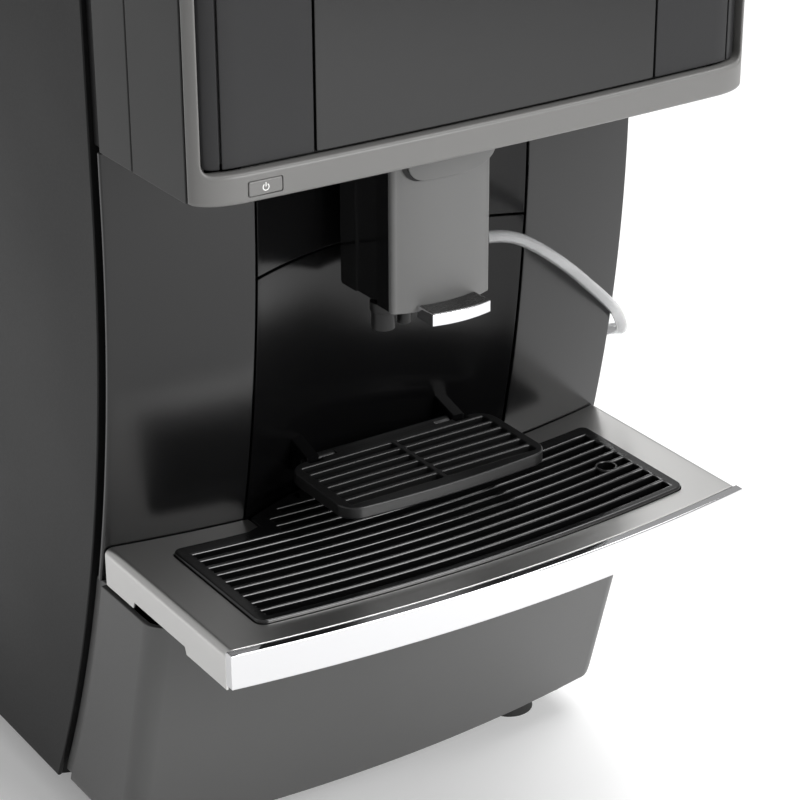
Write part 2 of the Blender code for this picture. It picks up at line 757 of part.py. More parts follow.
def panel_front_y(x):
    """The front line of the panels, which follows the head's bow and its round corners."""
    centre_x = HALF_WIDTH - HEAD_CORNER_X
    reach = abs(x) - centre_x
    if reach <= 0:
        return head_y(x) + PANEL_SETBACK
    share = reach / (HEAD_CORNER_X - PANEL_SETBACK)
    centre_y = head_y(centre_x) + HEAD_CORNER_Y
    return centre_y - (HEAD_CORNER_Y - PANEL_SETBACK) * math.sqrt(1 - share**2)


def panel_levels():
    return HEAD_Z + BEZEL_BOTTOM + PANEL_GAP, HEAD_TOP_Z - BEZEL_TOP - PANEL_GAP


def display_panel(half):
    xs = spread(-half, half, ARC_STEPS)
    front = [(x, panel_front_y(x)) for x in xs]
    back = [(x, y + PANEL_THICKNESS) for x, y in reversed(front)]
    return prism("display_glass", [front + back], *panel_levels(), GLOSS_BLACK)


def inset_panel(side, name, low_x, high_x):
    """A side panel: it wraps into the head's corner, with an upright groove before its end."""
    centre_x = HALF_WIDTH - HEAD_CORNER_X
    groove = HALF_WIDTH - PANEL_GROOVE_INSET
    far = groove + PANEL_GROOVE_WIDTH
    front = [(x, panel_front_y(x)) for x in spread(low_x, centre_x, ARC_STEPS // 2)]
    front += [(x, panel_front_y(x)) for x in spread(centre_x, groove, ARC_STEPS // 4)[1:]]
    front.append((groove, panel_front_y(groove) + PANEL_GROOVE_DEPTH))
    front.append((far, panel_front_y(far) + PANEL_GROOVE_DEPTH))
    front += [(x, panel_front_y(x)) for x in spread(far, high_x, ARC_STEPS // 2)]
    end_y = TRAY_CHORD_Y + PANEL_END_SETBACK
    back = [(high_x, end_y), (centre_x, end_y)]
    xs = spread(low_x, centre_x, ARC_STEPS // 2)
    back += [(x, panel_front_y(x) + PANEL_THICKNESS) for x in reversed(xs)]
    outline = [(side * x, y) for x, y in front + back]
    return prism(name, [outline], *panel_levels(), DARK_GREY)


def make_head_panels():
    """Two inset panels either side of the display, on a carrier screwed behind the bezel."""
    edge = BEZEL_OPENING_HALF - PANEL_GAP
    seam = INSET_SEAM_X
    inset_panel(-1, "inset_panel_left", seam + PANEL_GAP / 2, edge)
    display_panel(seam - PANEL_GAP / 2)
    inset_panel(1, "inset_panel_right", seam + PANEL_GAP / 2, edge)
    half = HALF_WIDTH - HEAD_CORNER_X - FIT
    rows = [(x, head_y(x) + BEZEL_DEPTH + FIT) for x in spread(-half, half, ARC_STEPS)]
    back = head_y(half) + BEZEL_DEPTH + FIT + CARRIER_DEPTH
    bottom = HEAD_Z + UNDERSIDE_RECESS + UNDERSIDE_THICKNESS + FIT
    top = DECK_TOP_Z - FIT
    outline = rows + [(half, back), (-half, back)]
    carrier = prism("display_carrier", [outline], bottom, top, SATIN_BLACK)
    window_half = seam - CARRIER_FRAME
    window_low = HEAD_Z + BEZEL_BOTTOM + CARRIER_FRAME
    window_high = HEAD_TOP_Z - BEZEL_TOP - CARRIER_FRAME
    window = rounded_rectangle(-window_half, window_low, window_half, window_high, PANEL_CORNER)
    window_tool = prism("carrier_window", [window], FRONT_Y, back + OVERRUN, SATIN_BLACK, "Y")
    cut(carrier, window_tool)
    board_half = window_half + CARRIER_FRAME / 2
    low = (-board_half, back + FIT, window_low - CARRIER_FRAME / 2)
    high = (board_half, back + FIT + BOARD_THICKNESS, window_high + CARRIER_FRAME / 2)
    block("control_board", low, high, BOARD_GREEN)


def make_head_cover(side, name):
    """A side cover of the head, with a shallow seam groove down its outside."""
    ends = sorted((side * (HALF_WIDTH - SHEET), side * HALF_WIDTH))
    low_y = TRAY_CHORD_Y + HEAD_SIDE_SETBACK + FIT
    high_y = TRAY_CHORD_Y + FRONT_SETBACK
    low = (ends[0], low_y, HEAD_Z)
    high = (ends[1], high_y, DECK_TOP_Z - FIT)
    cover = block(name, low, high, ANTHRACITE)
    groove_y = TRAY_CHORD_Y + SIDE_SEAM_SETBACK
    outside = side * HALF_WIDTH
    groove = block(
        name + "_groove",
        (outside - GROOVE, groove_y, HEAD_Z - OVERRUN),
        (outside + GROOVE, groove_y + GROOVE, DECK_TOP_Z + OVERRUN),
        ANTHRACITE,
    )
    return cut(cover, groove)


def make_head_underside():
    """The head's floor, with the slot through which the spout unit rises."""
    front = head_front(BEZEL_DEPTH + FIT)
    side_front = TRAY_CHORD_Y + HEAD_SIDE_SETBACK + FIT
    side_back = TRAY_CHORD_Y + FRONT_SETBACK
    wide = PAN_HALF
    narrow = FLANGE_X - RUN
    inner = HALF_WIDTH - BEZEL_DEPTH - FIT
    right = [
        (inner, side_front),
        (wide, side_front),
        (wide, side_back),
        (narrow, side_back),
        (narrow, BULKHEAD_Y - FIT),
    ]
    left = [(-x, y) for x, y in reversed(right)]
    hole = cover_plan(COVER_HALF + COLLAR_GAP, -COLLAR_GAP, SPOUT_HOLE_BACK)
    low = HEAD_Z + UNDERSIDE_RECESS
    high = low + UNDERSIDE_THICKNESS
    return prism("head_underside", [front + right + left, hole], low, high, SATIN_BLACK)


# Spout unit: rises and falls in front of a fixed guide

COVER_HALF = 0.028
COVER_FRONT = 0.0473
COVER_SAG = 0.0062
COVER_SIDE_BACK = 0.0670
COVER_WALL = 0.0018
COVER_BOTTOM_RISE = 0.1198
COVER_TOP_RISE = 0.2300
COVER_CORNER = 0.0025
SPOUT_BODY_BACK = 0.1020
SPOUT_RAIL_FRONT = 0.0870
SPOUT_RAIL_HALF = 0.0270
LIP_HALF = 0.0165
LIP_FRONT = 0.0337
LIP_SAG = 0.0022
LIP_BOTTOM_RISE = 0.1172
LIP_TOP_RISE = 0.1234
NOZZLE_X = 0.0095
NOZZLE_SETBACK = 0.0712
NOZZLE_RADIUS = 0.0033
NOZZLE_BORE = 0.0019
NOZZLE_BOTTOM_RISE = 0.1057
WATER_X = -0.0215
WATER_RADIUS = 0.0058
WATER_COLLAR = 0.0065
WATER_BORE = 0.0036
PORT_SETBACK = 0.0591
PORT_RISE = 0.1445
PORT_RADIUS = 0.0036
PORT_LENGTH = 0.0012
HOSE_RADIUS = 0.00315


def cover_front_y(x):
    return TRAY_CHORD_Y + COVER_FRONT + COVER_SAG * (x / COVER_HALF) ** 2


def cover_plan(half, inset, back):
    """A bowed front with small corner arcs and straight sides that run back."""
    edge = half - COVER_CORNER
    xs = spread(-edge, edge, ARC_STEPS)
    front = [(x, cover_front_y(x) + inset) for x in xs]
    corner_y = cover_front_y(edge) + inset
    reach = COVER_CORNER
    turn = []
    for i in range(1, 4):
        angle = RIGHT_ANGLE * i / 3
        turn.append((edge + reach * math.sin(angle), corner_y + reach * (1 - math.cos(angle))))
    right = turn + [(half, TRAY_CHORD_Y + back)]
    left = [(-x, y) for x, y in reversed(right)]
    return left + front + right


def make_spout_cover():
    bottom = TRAY_Z + COVER_BOTTOM_RISE
    top = TRAY_Z + COVER_TOP_RISE
    outer = cover_plan(COVER_HALF, 0, COVER_SIDE_BACK)
    inner = cover_plan(COVER_HALF - COVER_WALL, COVER_WALL, COVER_SIDE_BACK)
    return prism("spout_cover", [outer + inner[::-1]], bottom, top, DARK_GREY)


def make_spout_body():
    """The carriage inside the cover, with a rail rib down each side at the rear."""
    bottom = TRAY_Z + COVER_BOTTOM_RISE + RUN
    top = TRAY_Z + COVER_TOP_RISE
    half = COVER_HALF - COVER_WALL - FIT
    front = cover_plan(half, COVER_WALL + FIT, SPOUT_BODY_BACK)
    body = prism("spout_body", [front], bottom, top, GLOSS_BLACK)
    for side in (-1, 1):
        ends = sorted((side * (half - COVER_WALL), side * SPOUT_RAIL_HALF))
        rail = block(
            "carriage_rail",
            (ends[0], TRAY_CHORD_Y + SPOUT_RAIL_FRONT, bottom),
            (ends[1], TRAY_CHORD_Y + SPOUT_BODY_BACK - COVER_CORNER, top),
            GLOSS_BLACK,
        )
        join(body, rail)
    nozzle_y = TRAY_CHORD_Y + NOZZLE_SETBACK
    channel = ARC_STEPS * NOZZLE_RADIUS
    for x in (-NOZZLE_X, NOZZLE_X):
        centre = (x, nozzle_y, bottom)
        cut(body, cylinder("channel", centre, NOZZLE_BORE, channel, GLOSS_BLACK, "Z", BORE_SIDES))
    return body


def make_spout_lip():
    """The finger lip: an arc-fronted tab below the cover's front."""
    xs = spread(-LIP_HALF, LIP_HALF, ARC_STEPS)
    front = [(x, TRAY_CHORD_Y + LIP_FRONT + LIP_SAG * (x / LIP_HALF) ** 2) for x in xs]
    back = [(x, cover_front_y(x) - FIT) for x in reversed(xs)]
    low = TRAY_Z + LIP_BOTTOM_RISE
    high = TRAY_Z + LIP_TOP_RISE
    return prism("spout_lip", [front + back], low, high, CHROME)


NOZZLE_CHAMFER = 0.0008
COLLAR_SHARE = 0.35
OUTLET_HALF = 0.0142
OUTLET_DEPTH = 0.0090
OUTLET_PLATE = 0.0028
BORE_SIDES = 12


def nozzle(name, x, radius, bore, collar, material):
    """A turned outlet with a bore and a collar that seats under the carriage."""
    top = COVER_BOTTOM_RISE + RUN - FIT
    bottom = NOZZLE_BOTTOM_RISE
    shoulder = top - (top - bottom) * COLLAR_SHARE
    profile = [
        (bore, top),
        (collar, top),
        (collar, shoulder),
        (radius, shoulder),
        (radius, bottom + NOZZLE_CHAMFER),
        (radius - NOZZLE_CHAMFER, bottom),
        (bore, bottom),
    ]
    centre = (x, TRAY_CHORD_Y + NOZZLE_SETBACK, TRAY_Z)
    return turned(name, profile, centre, material, steps=20, closed=True)


def make_coffee_outlet():
    """The double outlet: two nozzles side by side on one plate."""
    top = TRAY_Z + COVER_BOTTOM_RISE + RUN - FIT
    y = TRAY_CHORD_Y + NOZZLE_SETBACK
    low = (-OUTLET_HALF, y - OUTLET_DEPTH / 2, top - OUTLET_PLATE)
    high = (OUTLET_HALF, y + OUTLET_DEPTH / 2, top)
    outlet = block("coffee_outlet", low, high, GLOSS_BLACK)
    bottom = TRAY_Z + NOZZLE_BOTTOM_RISE
    height = top - bottom - OUTLET_PLATE / 2
    for x in (-NOZZLE_X, NOZZLE_X):
        centre = (x, y, bottom + height / 2)
        tube = cylinder("coffee_nozzle", centre, NOZZLE_RADIUS, height, GLOSS_BLACK)
        join(outlet, tube)
        bore = cylinder("nozzle_bore", centre, NOZZLE_BORE, 2 * height, GLOSS_BLACK, "Z", BORE_SIDES)
        cut(outlet, bore)
    return outlet


def make_milk_port():
    """The barb on the cover's right side that the milk hose is pushed on."""
    x = COVER_HALF + FIT
    centre = (x + PORT_LENGTH / 2, TRAY_CHORD_Y + PORT_SETBACK, TRAY_Z + PORT_RISE)
    return cylinder("milk_port", centre, PORT_RADIUS, PORT_LENGTH, GLOSS_BLACK, "X", 20)


COLLAR_WALL = 0.0022
COLLAR_GAP = 0.0006
COLLAR_DROP = 0.0245
COLLAR_CORNER = 0.008


def make_spout_collar():
    """The fixed tongue that hangs from the head in front of the sliding cover."""
    half = COVER_HALF + COLLAR_GAP
    top = HEAD_Z + UNDERSIDE_RECESS - FIT
    straight = COLLAR_DROP - COLLAR_CORNER
    steps = ARC_STEPS // 2
    drops = [0]
    for i in range(steps + 1):
        drops.append(straight + COLLAR_CORNER * math.sin(RIGHT_ANGLE * i / steps))
    sections = []
    for drop in drops:
        past = min(1.0, max(0.0, drop - straight) / COLLAR_CORNER)
        reach = half - COLLAR_CORNER * (1 - math.sqrt(1 - past**2))
        xs = spread(-reach, reach, ARC_STEPS)
        inner = [(x, cover_front_y(x) - COLLAR_GAP) for x in xs]
        outer = []
        for x, y in reversed(inner):
            slope = 2 * COVER_SAG * x / COVER_HALF**2
            length = math.hypot(1, slope)
            outer.append((x + COLLAR_WALL * slope / length, y - COLLAR_WALL / length))
        sections.append([(x, y, top - drop) for x, y in inner + outer])
    return loft("spout_collar", sections, DARK_GREY)


GUIDE_HALF = 0.012
GUIDE_DROP = 0.072


def make_spout_guide():
    """The fixed column behind the carriage, bolted to the upper wall of the bay."""
    low_z = HEAD_Z - GUIDE_DROP
    front = TRAY_CHORD_Y + SPOUT_BODY_BACK + RUN
    back = bay_y(0, HEAD_Z) - FIT
    low = (-GUIDE_HALF, front, low_z)
    high = (GUIDE_HALF, back - BAY_DEPTH * (GUIDE_HALF / PILLAR_INNER_X) ** 2, HEAD_Z - FIT)
    return block("spout_guide", low, high, GLOSS_BLACK)


# Drip tray: steel top, chrome bar, basin, grille and float

TOP_SHEET = 0.0012
TRAY_FLANGE = 0.0205
TRAY_EDGE_RADIUS = 0.004
BAR_DEPTH = 0.0050
BAR_HEIGHT = 0.0183
BAR_FIT = 0.0003
FLANGE_RECESS_FRONT = 0.043
FLANGE_RECESS_BACK = 0.096
FLANGE_RECESS_HEIGHT = 0.0037
GRILLE_SIDE_BORDER = 0.0248
GRILLE_HALF = TRAY_HALF - GRILLE_SIDE_BORDER
GRILLE_FRONT = 0.0167
GRILLE_BACK = 0.1018
GRILLE_TONGUE_HALF = 0.0765
GRILLE_FLARE_HALF = 0.0850
GRILLE_PROUD = 0.0020
GRILLE_DEPTH = 0.0045
GRILLE_FIT = 0.0004
GRILLE_CORNER = 0.005
SLAT_FIRST = 0.0274
SLAT_PITCH = 0.00821
SLAT_WIDTH = 0.0026
SLAT_INSET = 0.0067
SLAT_HALF = GRILLE_HALF - SLAT_INSET
MAIN_SLOTS = 9
TONGUE_SLOT_HALF_SHARES = (0.915, 0.90, 0.79, 0.59)
FLOAT_INSET = 0.0202
FLOAT_X = GRILLE_HALF - FLOAT_INSET
FLOAT_SETBACK = 0.0560
FLOAT_RING = 0.0060
FLOAT_HOLE = 0.0046
FLOAT_RADIUS = 0.0038
FLOAT_TRAVEL = 0.0060
FLOAT_DISC = 0.0090
FLOAT_DISC_HEIGHT = 0.0050
BASIN_WALL = 0.002
BASIN_HALF = TRAY_HALF - TRAY_EDGE_RADIUS
BASIN_DEPTH = SHELF_DROP - FIT
GRILLE_FOOT_RADIUS = 0.0022
GRILLE_FOOT_INSET = 0.0112
GRILLE_FOOT_X = GRILLE_HALF - GRILLE_FOOT_INSET
GRILLE_FOOT_FRONT = 0.0176
GRILLE_FOOT_BACK = 0.0958
WALL_CLEARANCE = 0.0010
TONGUE_CLEARANCE = 0.0042


def tray_back_y(x):
    """The tray's back edge follows the pillars' faces at the tray's level."""
    return pillar_y(x, TRAY_Z) - RUN


def grille_outline(grow):
    """A bowed rectangle with a tongue that runs back into the hollow of the bay."""
    half = GRILLE_HALF + grow
    chord = TRAY_CHORD_Y - front_rise(GRILLE_HALF)
    cut_corner = GRILLE_CORNER
    front_xs = spread(-half + cut_corner, half - cut_corner, 2 * ARC_STEPS)
    points = [(x, chord + GRILLE_FRONT - grow + front_rise(x)) for x in front_xs]
    corner_y = chord + GRILLE_FRONT + front_rise(half)
    points.append((half, corner_y + cut_corner))
    back_y = chord + GRILLE_BACK + grow
    points.append((half, back_y + front_rise(half) - cut_corner))
    points.append((half - cut_corner, back_y + front_rise(half - cut_corner)))
    flare = GRILLE_FLARE_HALF + grow
    points.append(((half + flare) / 2, back_y + front_rise((half + flare) / 2)))
    points.append((flare, back_y + front_rise(flare)))
    tongue = GRILLE_TONGUE_HALF + grow
    if grow:
        rear = pillar_y(PILLAR_INNER_X, TRAY_Z) + BAY_DEPTH + OVERRUN
        points.append((tongue, rear))
        points.append((-tongue, rear))
    else:
        for x in spread(tongue, -tongue, ARC_STEPS):
            points.append((x, bay_y(x, TRAY_Z) - TONGUE_CLEARANCE))
    points.append((-flare, back_y + front_rise(flare)))
    points.append((-(half + flare) / 2, back_y + front_rise((half + flare) / 2)))
    points.append((-half + cut_corner, back_y + front_rise(half - cut_corner)))
    points.append((-half, back_y + front_rise(half) - cut_corner))
    points.append((-half, corner_y + cut_corner))
    return points


def make_tray_top():
    """One bent sheet: flat top, rounded side edges and upright side flanges, open for the grille."""
    steps = 4
    half = TRAY_HALF
    radius = TRAY_EDGE_RADIUS
    low = TRAY_Z - TRAY_FLANGE
    corner = []
    for i in range(steps + 1):
        angle = RIGHT_ANGLE * i / steps
        corner.append((math.cos(angle), math.sin(angle)))
    outer = [(half, low)]
    outer += [(half - radius + radius * c, TRAY_Z - radius + radius * s) for c, s in corner]
    thin = radius - TOP_SHEET
    inner = [(half - TOP_SHEET, low)]
    inner += [(half - radius + thin * c, TRAY_Z - radius + thin * s) for c, s in corner]
    far_side = [(-x, z) for x, z in reversed(outer)] + [(-x, z) for x, z in inner]
    outline = outer + far_side + inner[::-1]
    far_y = pillar_y(HALF_WIDTH, TRAY_Z) + OVERRUN
    top = prism("tray_top", [outline], FRONT_Y, far_y, STEEL, "Y")
    xs = spread(-half - OVERRUN, half + OVERRUN, 2 * ARC_STEPS)
    behind_bar = [(x, tray_front_y(x) + BAR_DEPTH + BAR_FIT) for x in xs]
    far_front = FRONT_Y - 2 * BAR_HEIGHT
    front_tool = behind_bar + [(xs[-1], far_front), (xs[0], far_front)]
    under = TRAY_Z - TRAY_FLANGE - OVERRUN
    cut(top, prism("front_trim", [front_tool], under, TRAY_Z + OVERRUN, STEEL))
    back_edge = [(x, tray_back_y(x)) for x in xs]
    far_back = BULKHEAD_Y
    back_tool = back_edge + [(xs[-1], far_back), (xs[0], far_back)]
    cut(top, prism("back_trim", [back_tool], under, TRAY_Z + OVERRUN, STEEL))
    opening = [grille_outline(GRILLE_FIT)]
    cut(top, prism("grille_opening", opening, TRAY_Z - GRILLE_DEPTH, TRAY_Z + OVERRUN, STEEL))
    recess = block(
        "flange_recess",
        (-half - OVERRUN, TRAY_CHORD_Y + FLANGE_RECESS_FRONT, under),
        (half + OVERRUN, TRAY_CHORD_Y + FLANGE_RECESS_BACK, low + FLANGE_RECESS_HEIGHT),
        STEEL,
    )
    return cut(top, recess)


def make_tray_bar():
    """The bowed chrome bar across the tray's front."""
    xs = spread(-TRAY_HALF, TRAY_HALF, 3 * ARC_STEPS)
    front = [(x, tray_front_y(x)) for x in xs]
    back = [(x, y + BAR_DEPTH) for x, y in reversed(front)]
    return prism("tray_front_bar", [front + back], TRAY_Z - BAR_HEIGHT, TRAY_Z, CHROME)


def basin_outline(inset):
    half = BASIN_HALF - inset
    xs = spread(-half, half, 2 * ARC_STEPS)
    front = [(x, tray_front_y(x) + BAR_DEPTH + BAR_FIT + inset) for x in xs]
    strip = spread(half, PILLAR_INNER_X, 3)
    right = [(x, tray_back_y(x) - inset) for x in strip]
    tongue = GRILLE_TONGUE_HALF - inset
    shoulder = tray_back_y(tongue) - inset
    tongue_xs = spread(tongue, -tongue, ARC_STEPS)
    middle = [(x, bay_y(x, TRAY_Z) - WALL_CLEARANCE - inset) for x in tongue_xs]
    left = [(-x, y) for x, y in reversed(right)]
    return front + right + [(tongue, shoulder)] + middle + [(-tongue, shoulder)] + left


def make_drip_basin():
    low = TRAY_Z - BASIN_DEPTH
    top = TRAY_Z - TOP_SHEET - FIT
    basin = prism("drip_basin", [basin_outline(0)], low, top, SATIN_BLACK)
    inside = [basin_outline(BASIN_WALL)]
    cut(basin, prism("basin_hollow", inside, low + BASIN_WALL, TRAY_Z + OVERRUN, SATIN_BLACK))
    seat_z = TRAY_Z - GRILLE_DEPTH - FIT
    seat = prism("grille_seat", [grille_outline(GRILLE_FIT)], seat_z, TRAY_Z + OVERRUN, SATIN_BLACK)
    return cut(basin, seat)


def slot_outline(middle, half, width, chord):
    """A slot that follows the front arc, from -half to half."""
    xs = spread(-half, half, ARC_STEPS)
    low = [(x, chord + middle - width / 2 + front_rise(x)) for x in xs]
    high = [(x, chord + middle + width / 2 + front_rise(x)) for x in reversed(xs)]
    return low + high


def make_grille():
    """Arc slats in a T-shaped frame, on four feet that stand on the basin's floor."""
    chord = TRAY_CHORD_Y - front_rise(SLAT_HALF)
    width = SLAT_PITCH - SLAT_WIDTH
    outlines = [grille_outline(0)]
    for i in range(MAIN_SLOTS):
        middle = SLAT_FIRST + SLAT_PITCH * (i - 0.5)
        outlines.append(slot_outline(middle, SLAT_HALF, width, chord))
    for i, share in enumerate(TONGUE_SLOT_HALF_SHARES):
        middle = SLAT_FIRST + SLAT_PITCH * (MAIN_SLOTS + i - 0.5)
        outlines.append(slot_outline(middle, GRILLE_TONGUE_HALF * share, width, chord))
    low = TRAY_Z - GRILLE_DEPTH
    grille = prism("grille", outlines, low, TRAY_Z + GRILLE_PROUD, GLOSS_BLACK)
    floor = TRAY_Z - BASIN_DEPTH + BASIN_WALL + FIT
    for x in (-GRILLE_FOOT_X, GRILLE_FOOT_X):
        for setback in (GRILLE_FOOT_FRONT, GRILLE_FOOT_BACK):
            length = low - floor + GRILLE_PROUD
            centre = (x, TRAY_CHORD_Y + setback, floor + length / 2)
            radius = GRILLE_FOOT_RADIUS
            foot = cylinder("grille_foot", centre, radius, length, GLOSS_BLACK, "Z", BORE_SIDES)
            join(grille, foot)
    ring_z = TRAY_Z + (GRILLE_PROUD - GRILLE_DEPTH) / 2
    ring_centre = (FLOAT_X, TRAY_CHORD_Y + FLOAT_SETBACK, ring_z)
    ring_height = GRILLE_PROUD + GRILLE_DEPTH
    join(grille, cylinder("float_ring", ring_centre, FLOAT_RING, ring_height, GLOSS_BLACK))
    cut(grille, cylinder("float_hole", ring_centre, FLOAT_HOLE, 2 * ring_height, GLOSS_BLACK))
    return grille


def make_float():
    """The level float: a disc in the basin with a stem that rises to the grille's ring."""
    floor = -BASIN_DEPTH + BASIN_WALL + FIT
    top = -GRILLE_DEPTH - FIT - FLOAT_TRAVEL
    profile = [
        (0, top),
        (FLOAT_RADIUS, top),
        (FLOAT_RADIUS, floor + FLOAT_DISC_HEIGHT),
        (FLOAT_DISC, floor + FLOAT_DISC_HEIGHT),
        (FLOAT_DISC, floor),
        (0, floor),
    ]
    centre = (FLOAT_X, TRAY_CHORD_Y + FLOAT_SETBACK, TRAY_Z)
    return turned("tray_float", profile, centre, ANTHRACITE)


# Fold-up cup platform on two lugs

PLATFORM_FRONT = 0.0430
PLATFORM_BACK = 0.1010
PLATFORM_CORNER = 0.011
PLATFORM_BOW = 0.0022
PLATFORM_SLOT_INSET = 0.0054
PLATFORM_SLOT_HALF = PLATFORM_HALF - PLATFORM_SLOT_INSET
PLATFORM_SLOTS = 6
PLATFORM_FIRST_SLAT = 0.0473
PLATFORM_RIB = 0.0030
BARREL_RADIUS = 0.0031
BARREL_SIDE_GAP = 0.0040
BARREL_HALF = LUG_X - BARREL_SIDE_GAP
BRIDGE_INSET = 0.010
BRIDGE_HALF = BARREL_HALF - BRIDGE_INSET
NOTCH_DEPTH = 0.0030


def make_cup_platform():
    low_y = TRAY_CHORD_Y + PLATFORM_FRONT
    high_y = TRAY_CHORD_Y + PLATFORM_BACK
    half = PLATFORM_HALF
    outline = rounded_rectangle(-half, low_y, half, high_y, PLATFORM_CORNER)
    straight = half - PLATFORM_CORNER
    front = []
    for x in spread(-straight, straight, ARC_STEPS // 2)[1:-1]:
        front.append((x, low_y - PLATFORM_BOW * (1 - (x / straight) ** 2)))
    outlines = [outline + front]
    width = SLAT_PITCH - SLAT_WIDTH
    for i in range(PLATFORM_SLOTS):
        middle = TRAY_CHORD_Y + PLATFORM_FIRST_SLAT + SLAT_PITCH * (i + 0.5)
        low = (-PLATFORM_SLOT_HALF, middle - width / 2)
        high = (PLATFORM_SLOT_HALF, middle + width / 2)
        outlines.append([low, (high[0], low[1]), high, (low[0], high[1])])
    top = TRAY_Z + PLATFORM_TOP_RISE
    low = top - PLATFORM_THICKNESS
    platform = prism("cup_platform", outlines, low, top, GLOSS_BLACK)
    for side in (-1, 1):
        notch_half = LUG_WIDTH / 2 + RUN
        notch_low = (side * LUG_X - notch_half, high_y - NOTCH_DEPTH, low - OVERRUN)
        notch_high = (side * LUG_X + notch_half, high_y + FIT, top + OVERRUN)
        cut(platform, block("lug_notch", notch_low, notch_high, GLOSS_BLACK))
    rib_front = TRAY_CHORD_Y + PLATFORM_FIRST_SLAT
    rib_back = rib_front + SLAT_PITCH * PLATFORM_SLOTS
    rib_low = (-PLATFORM_RIB / 2, rib_front, low + FIT)
    rib_high = (PLATFORM_RIB / 2, rib_back, top - FIT)
    join(platform, block("platform_rib", rib_low, rib_high, GLOSS_BLACK))
    bridge_low = (-BRIDGE_HALF, high_y - PLATFORM_RIB, low + FIT)
    bridge_high = (BRIDGE_HALF, PLATFORM_AXIS_Y, top - FIT)
    join(platform, block("platform_bridge", bridge_low, bridge_high, GLOSS_BLACK))
    axis = (0, PLATFORM_AXIS_Y, PLATFORM_AXIS_Z)
    join(platform, cylinder("barrel", axis, BARREL_RADIUS, 2 * BARREL_HALF, GLOSS_BLACK, "X"))
    pin_length = 2 * LUG_X + LUG_WIDTH
    join(platform, cylinder("pin", axis, PIN_RADIUS, pin_length, GLOSS_BLACK, "X", PIN_SIDES))
    joint_empty("cup_platform_hinge", axis, [platform])
    return platform


# Grounds drawer below the tray

CHIN_INSET = 0.0004
CHIN_HALF = HALF_WIDTH - CHIN_INSET
CHIN_TOP_SETBACK = 0.0745
CHIN_LEAN_SHARE = 0.283
CHIN_BOW = 0.0120
CHIN_CORNER = 0.012
CHIN_WALL = 0.003
CHIN_STEP = 0.0031
CHIN_TOP_DROP = SHELF_DROP + SHELF_THICKNESS + FIT
CHIN_BOTTOM_RISE = 0.0062
CHIN_TUCK_SHARE = 0.12
CHIN_BOTTOM_RADIUS = 0.008
CHIN_LEVELS = 7
DRAWER_INSET = 0.0246
DRAWER_HALF = CHIN_HALF - DRAWER_INSET
DRAWER_FIT = 0.0008
DRAWER_FLOOR = 0.003
DRAWER_LENGTH = 0.120
CONTAINER_INSET = 0.0185
CONTAINER_HALF = DRAWER_HALF - CONTAINER_INSET
CONTAINER_LENGTH = 0.100
CONTAINER_TOP_DROP = 0.0424
CONTAINER_WALL = 0.0025
CONTAINER_CORNER = 0.010
DRAWER_FLOOR_Z = FOOT_HEIGHT + PAN_HEIGHT + FIT
DRAWER_BACK_Y = TRAY_CHORD_Y + PAN_FRONT_SETBACK + DRAWER_LENGTH


def chin_side_y(z):
    """The chin's front line at its sides leans back as it goes down."""
    return TRAY_CHORD_Y + CHIN_TOP_SETBACK + CHIN_LEAN_SHARE * (TRAY_Z - CHIN_TOP_DROP - z)


def chin_line(half, z, inset):
    """Plan points from the left wall's back end round the front to the right wall's back end."""
    edge = half - CHIN_CORNER
    corner_y = chin_side_y(z) + CHIN_CORNER
    radius = CHIN_CORNER - inset
    right = []
    for i in range(5):
        angle = RIGHT_ANGLE * i / 4
        right.append((edge + radius * math.sin(angle), corner_y - radius * math.cos(angle)))
    back = edge_y(z) - RUN - inset
    right.append((half - inset, back))
    right.append((half - inset - CHIN_STEP, back))
    right.append((half - inset - CHIN_STEP, edge_y(z) + SHADOW_GAP - RUN))
    middle = []
    for x in spread(-edge, edge, ARC_STEPS)[1:-1]:
        middle.append((x, chin_side_y(z) - CHIN_BOW * (1 - (x / edge) ** 2) + inset))
    left = [(-x, y) for x, y in reversed(right)]
    return left + middle + right


def make_lower_front():
    """The drawer's front: a bowed panel that wraps round both sides, with rounded bottom corners."""
    top = TRAY_Z - CHIN_TOP_DROP
    bottom = FOOT_HEIGHT + CHIN_BOTTOM_RISE
    levels = [(z, CHIN_HALF) for z in spread(top, bottom + CHIN_BOTTOM_RADIUS, CHIN_LEVELS)]
    for i in range(1, 5):
        angle = RIGHT_ANGLE * i / 4
        z = bottom + CHIN_BOTTOM_RADIUS * (1 - math.sin(angle))
        tuck = CHIN_BOTTOM_RADIUS * (1 - math.cos(angle)) * CHIN_TUCK_SHARE
        levels.append((z, CHIN_HALF - tuck))
    sections = []
    for z, half in levels:
        outer = chin_line(half, z, 0)
        inner = chin_line(half, z, CHIN_WALL)
        sections.append([(x, y, z) for x, y in outer + inner[::-1]])
    return loft("lower_front_panel", sections, DARK_GREY)


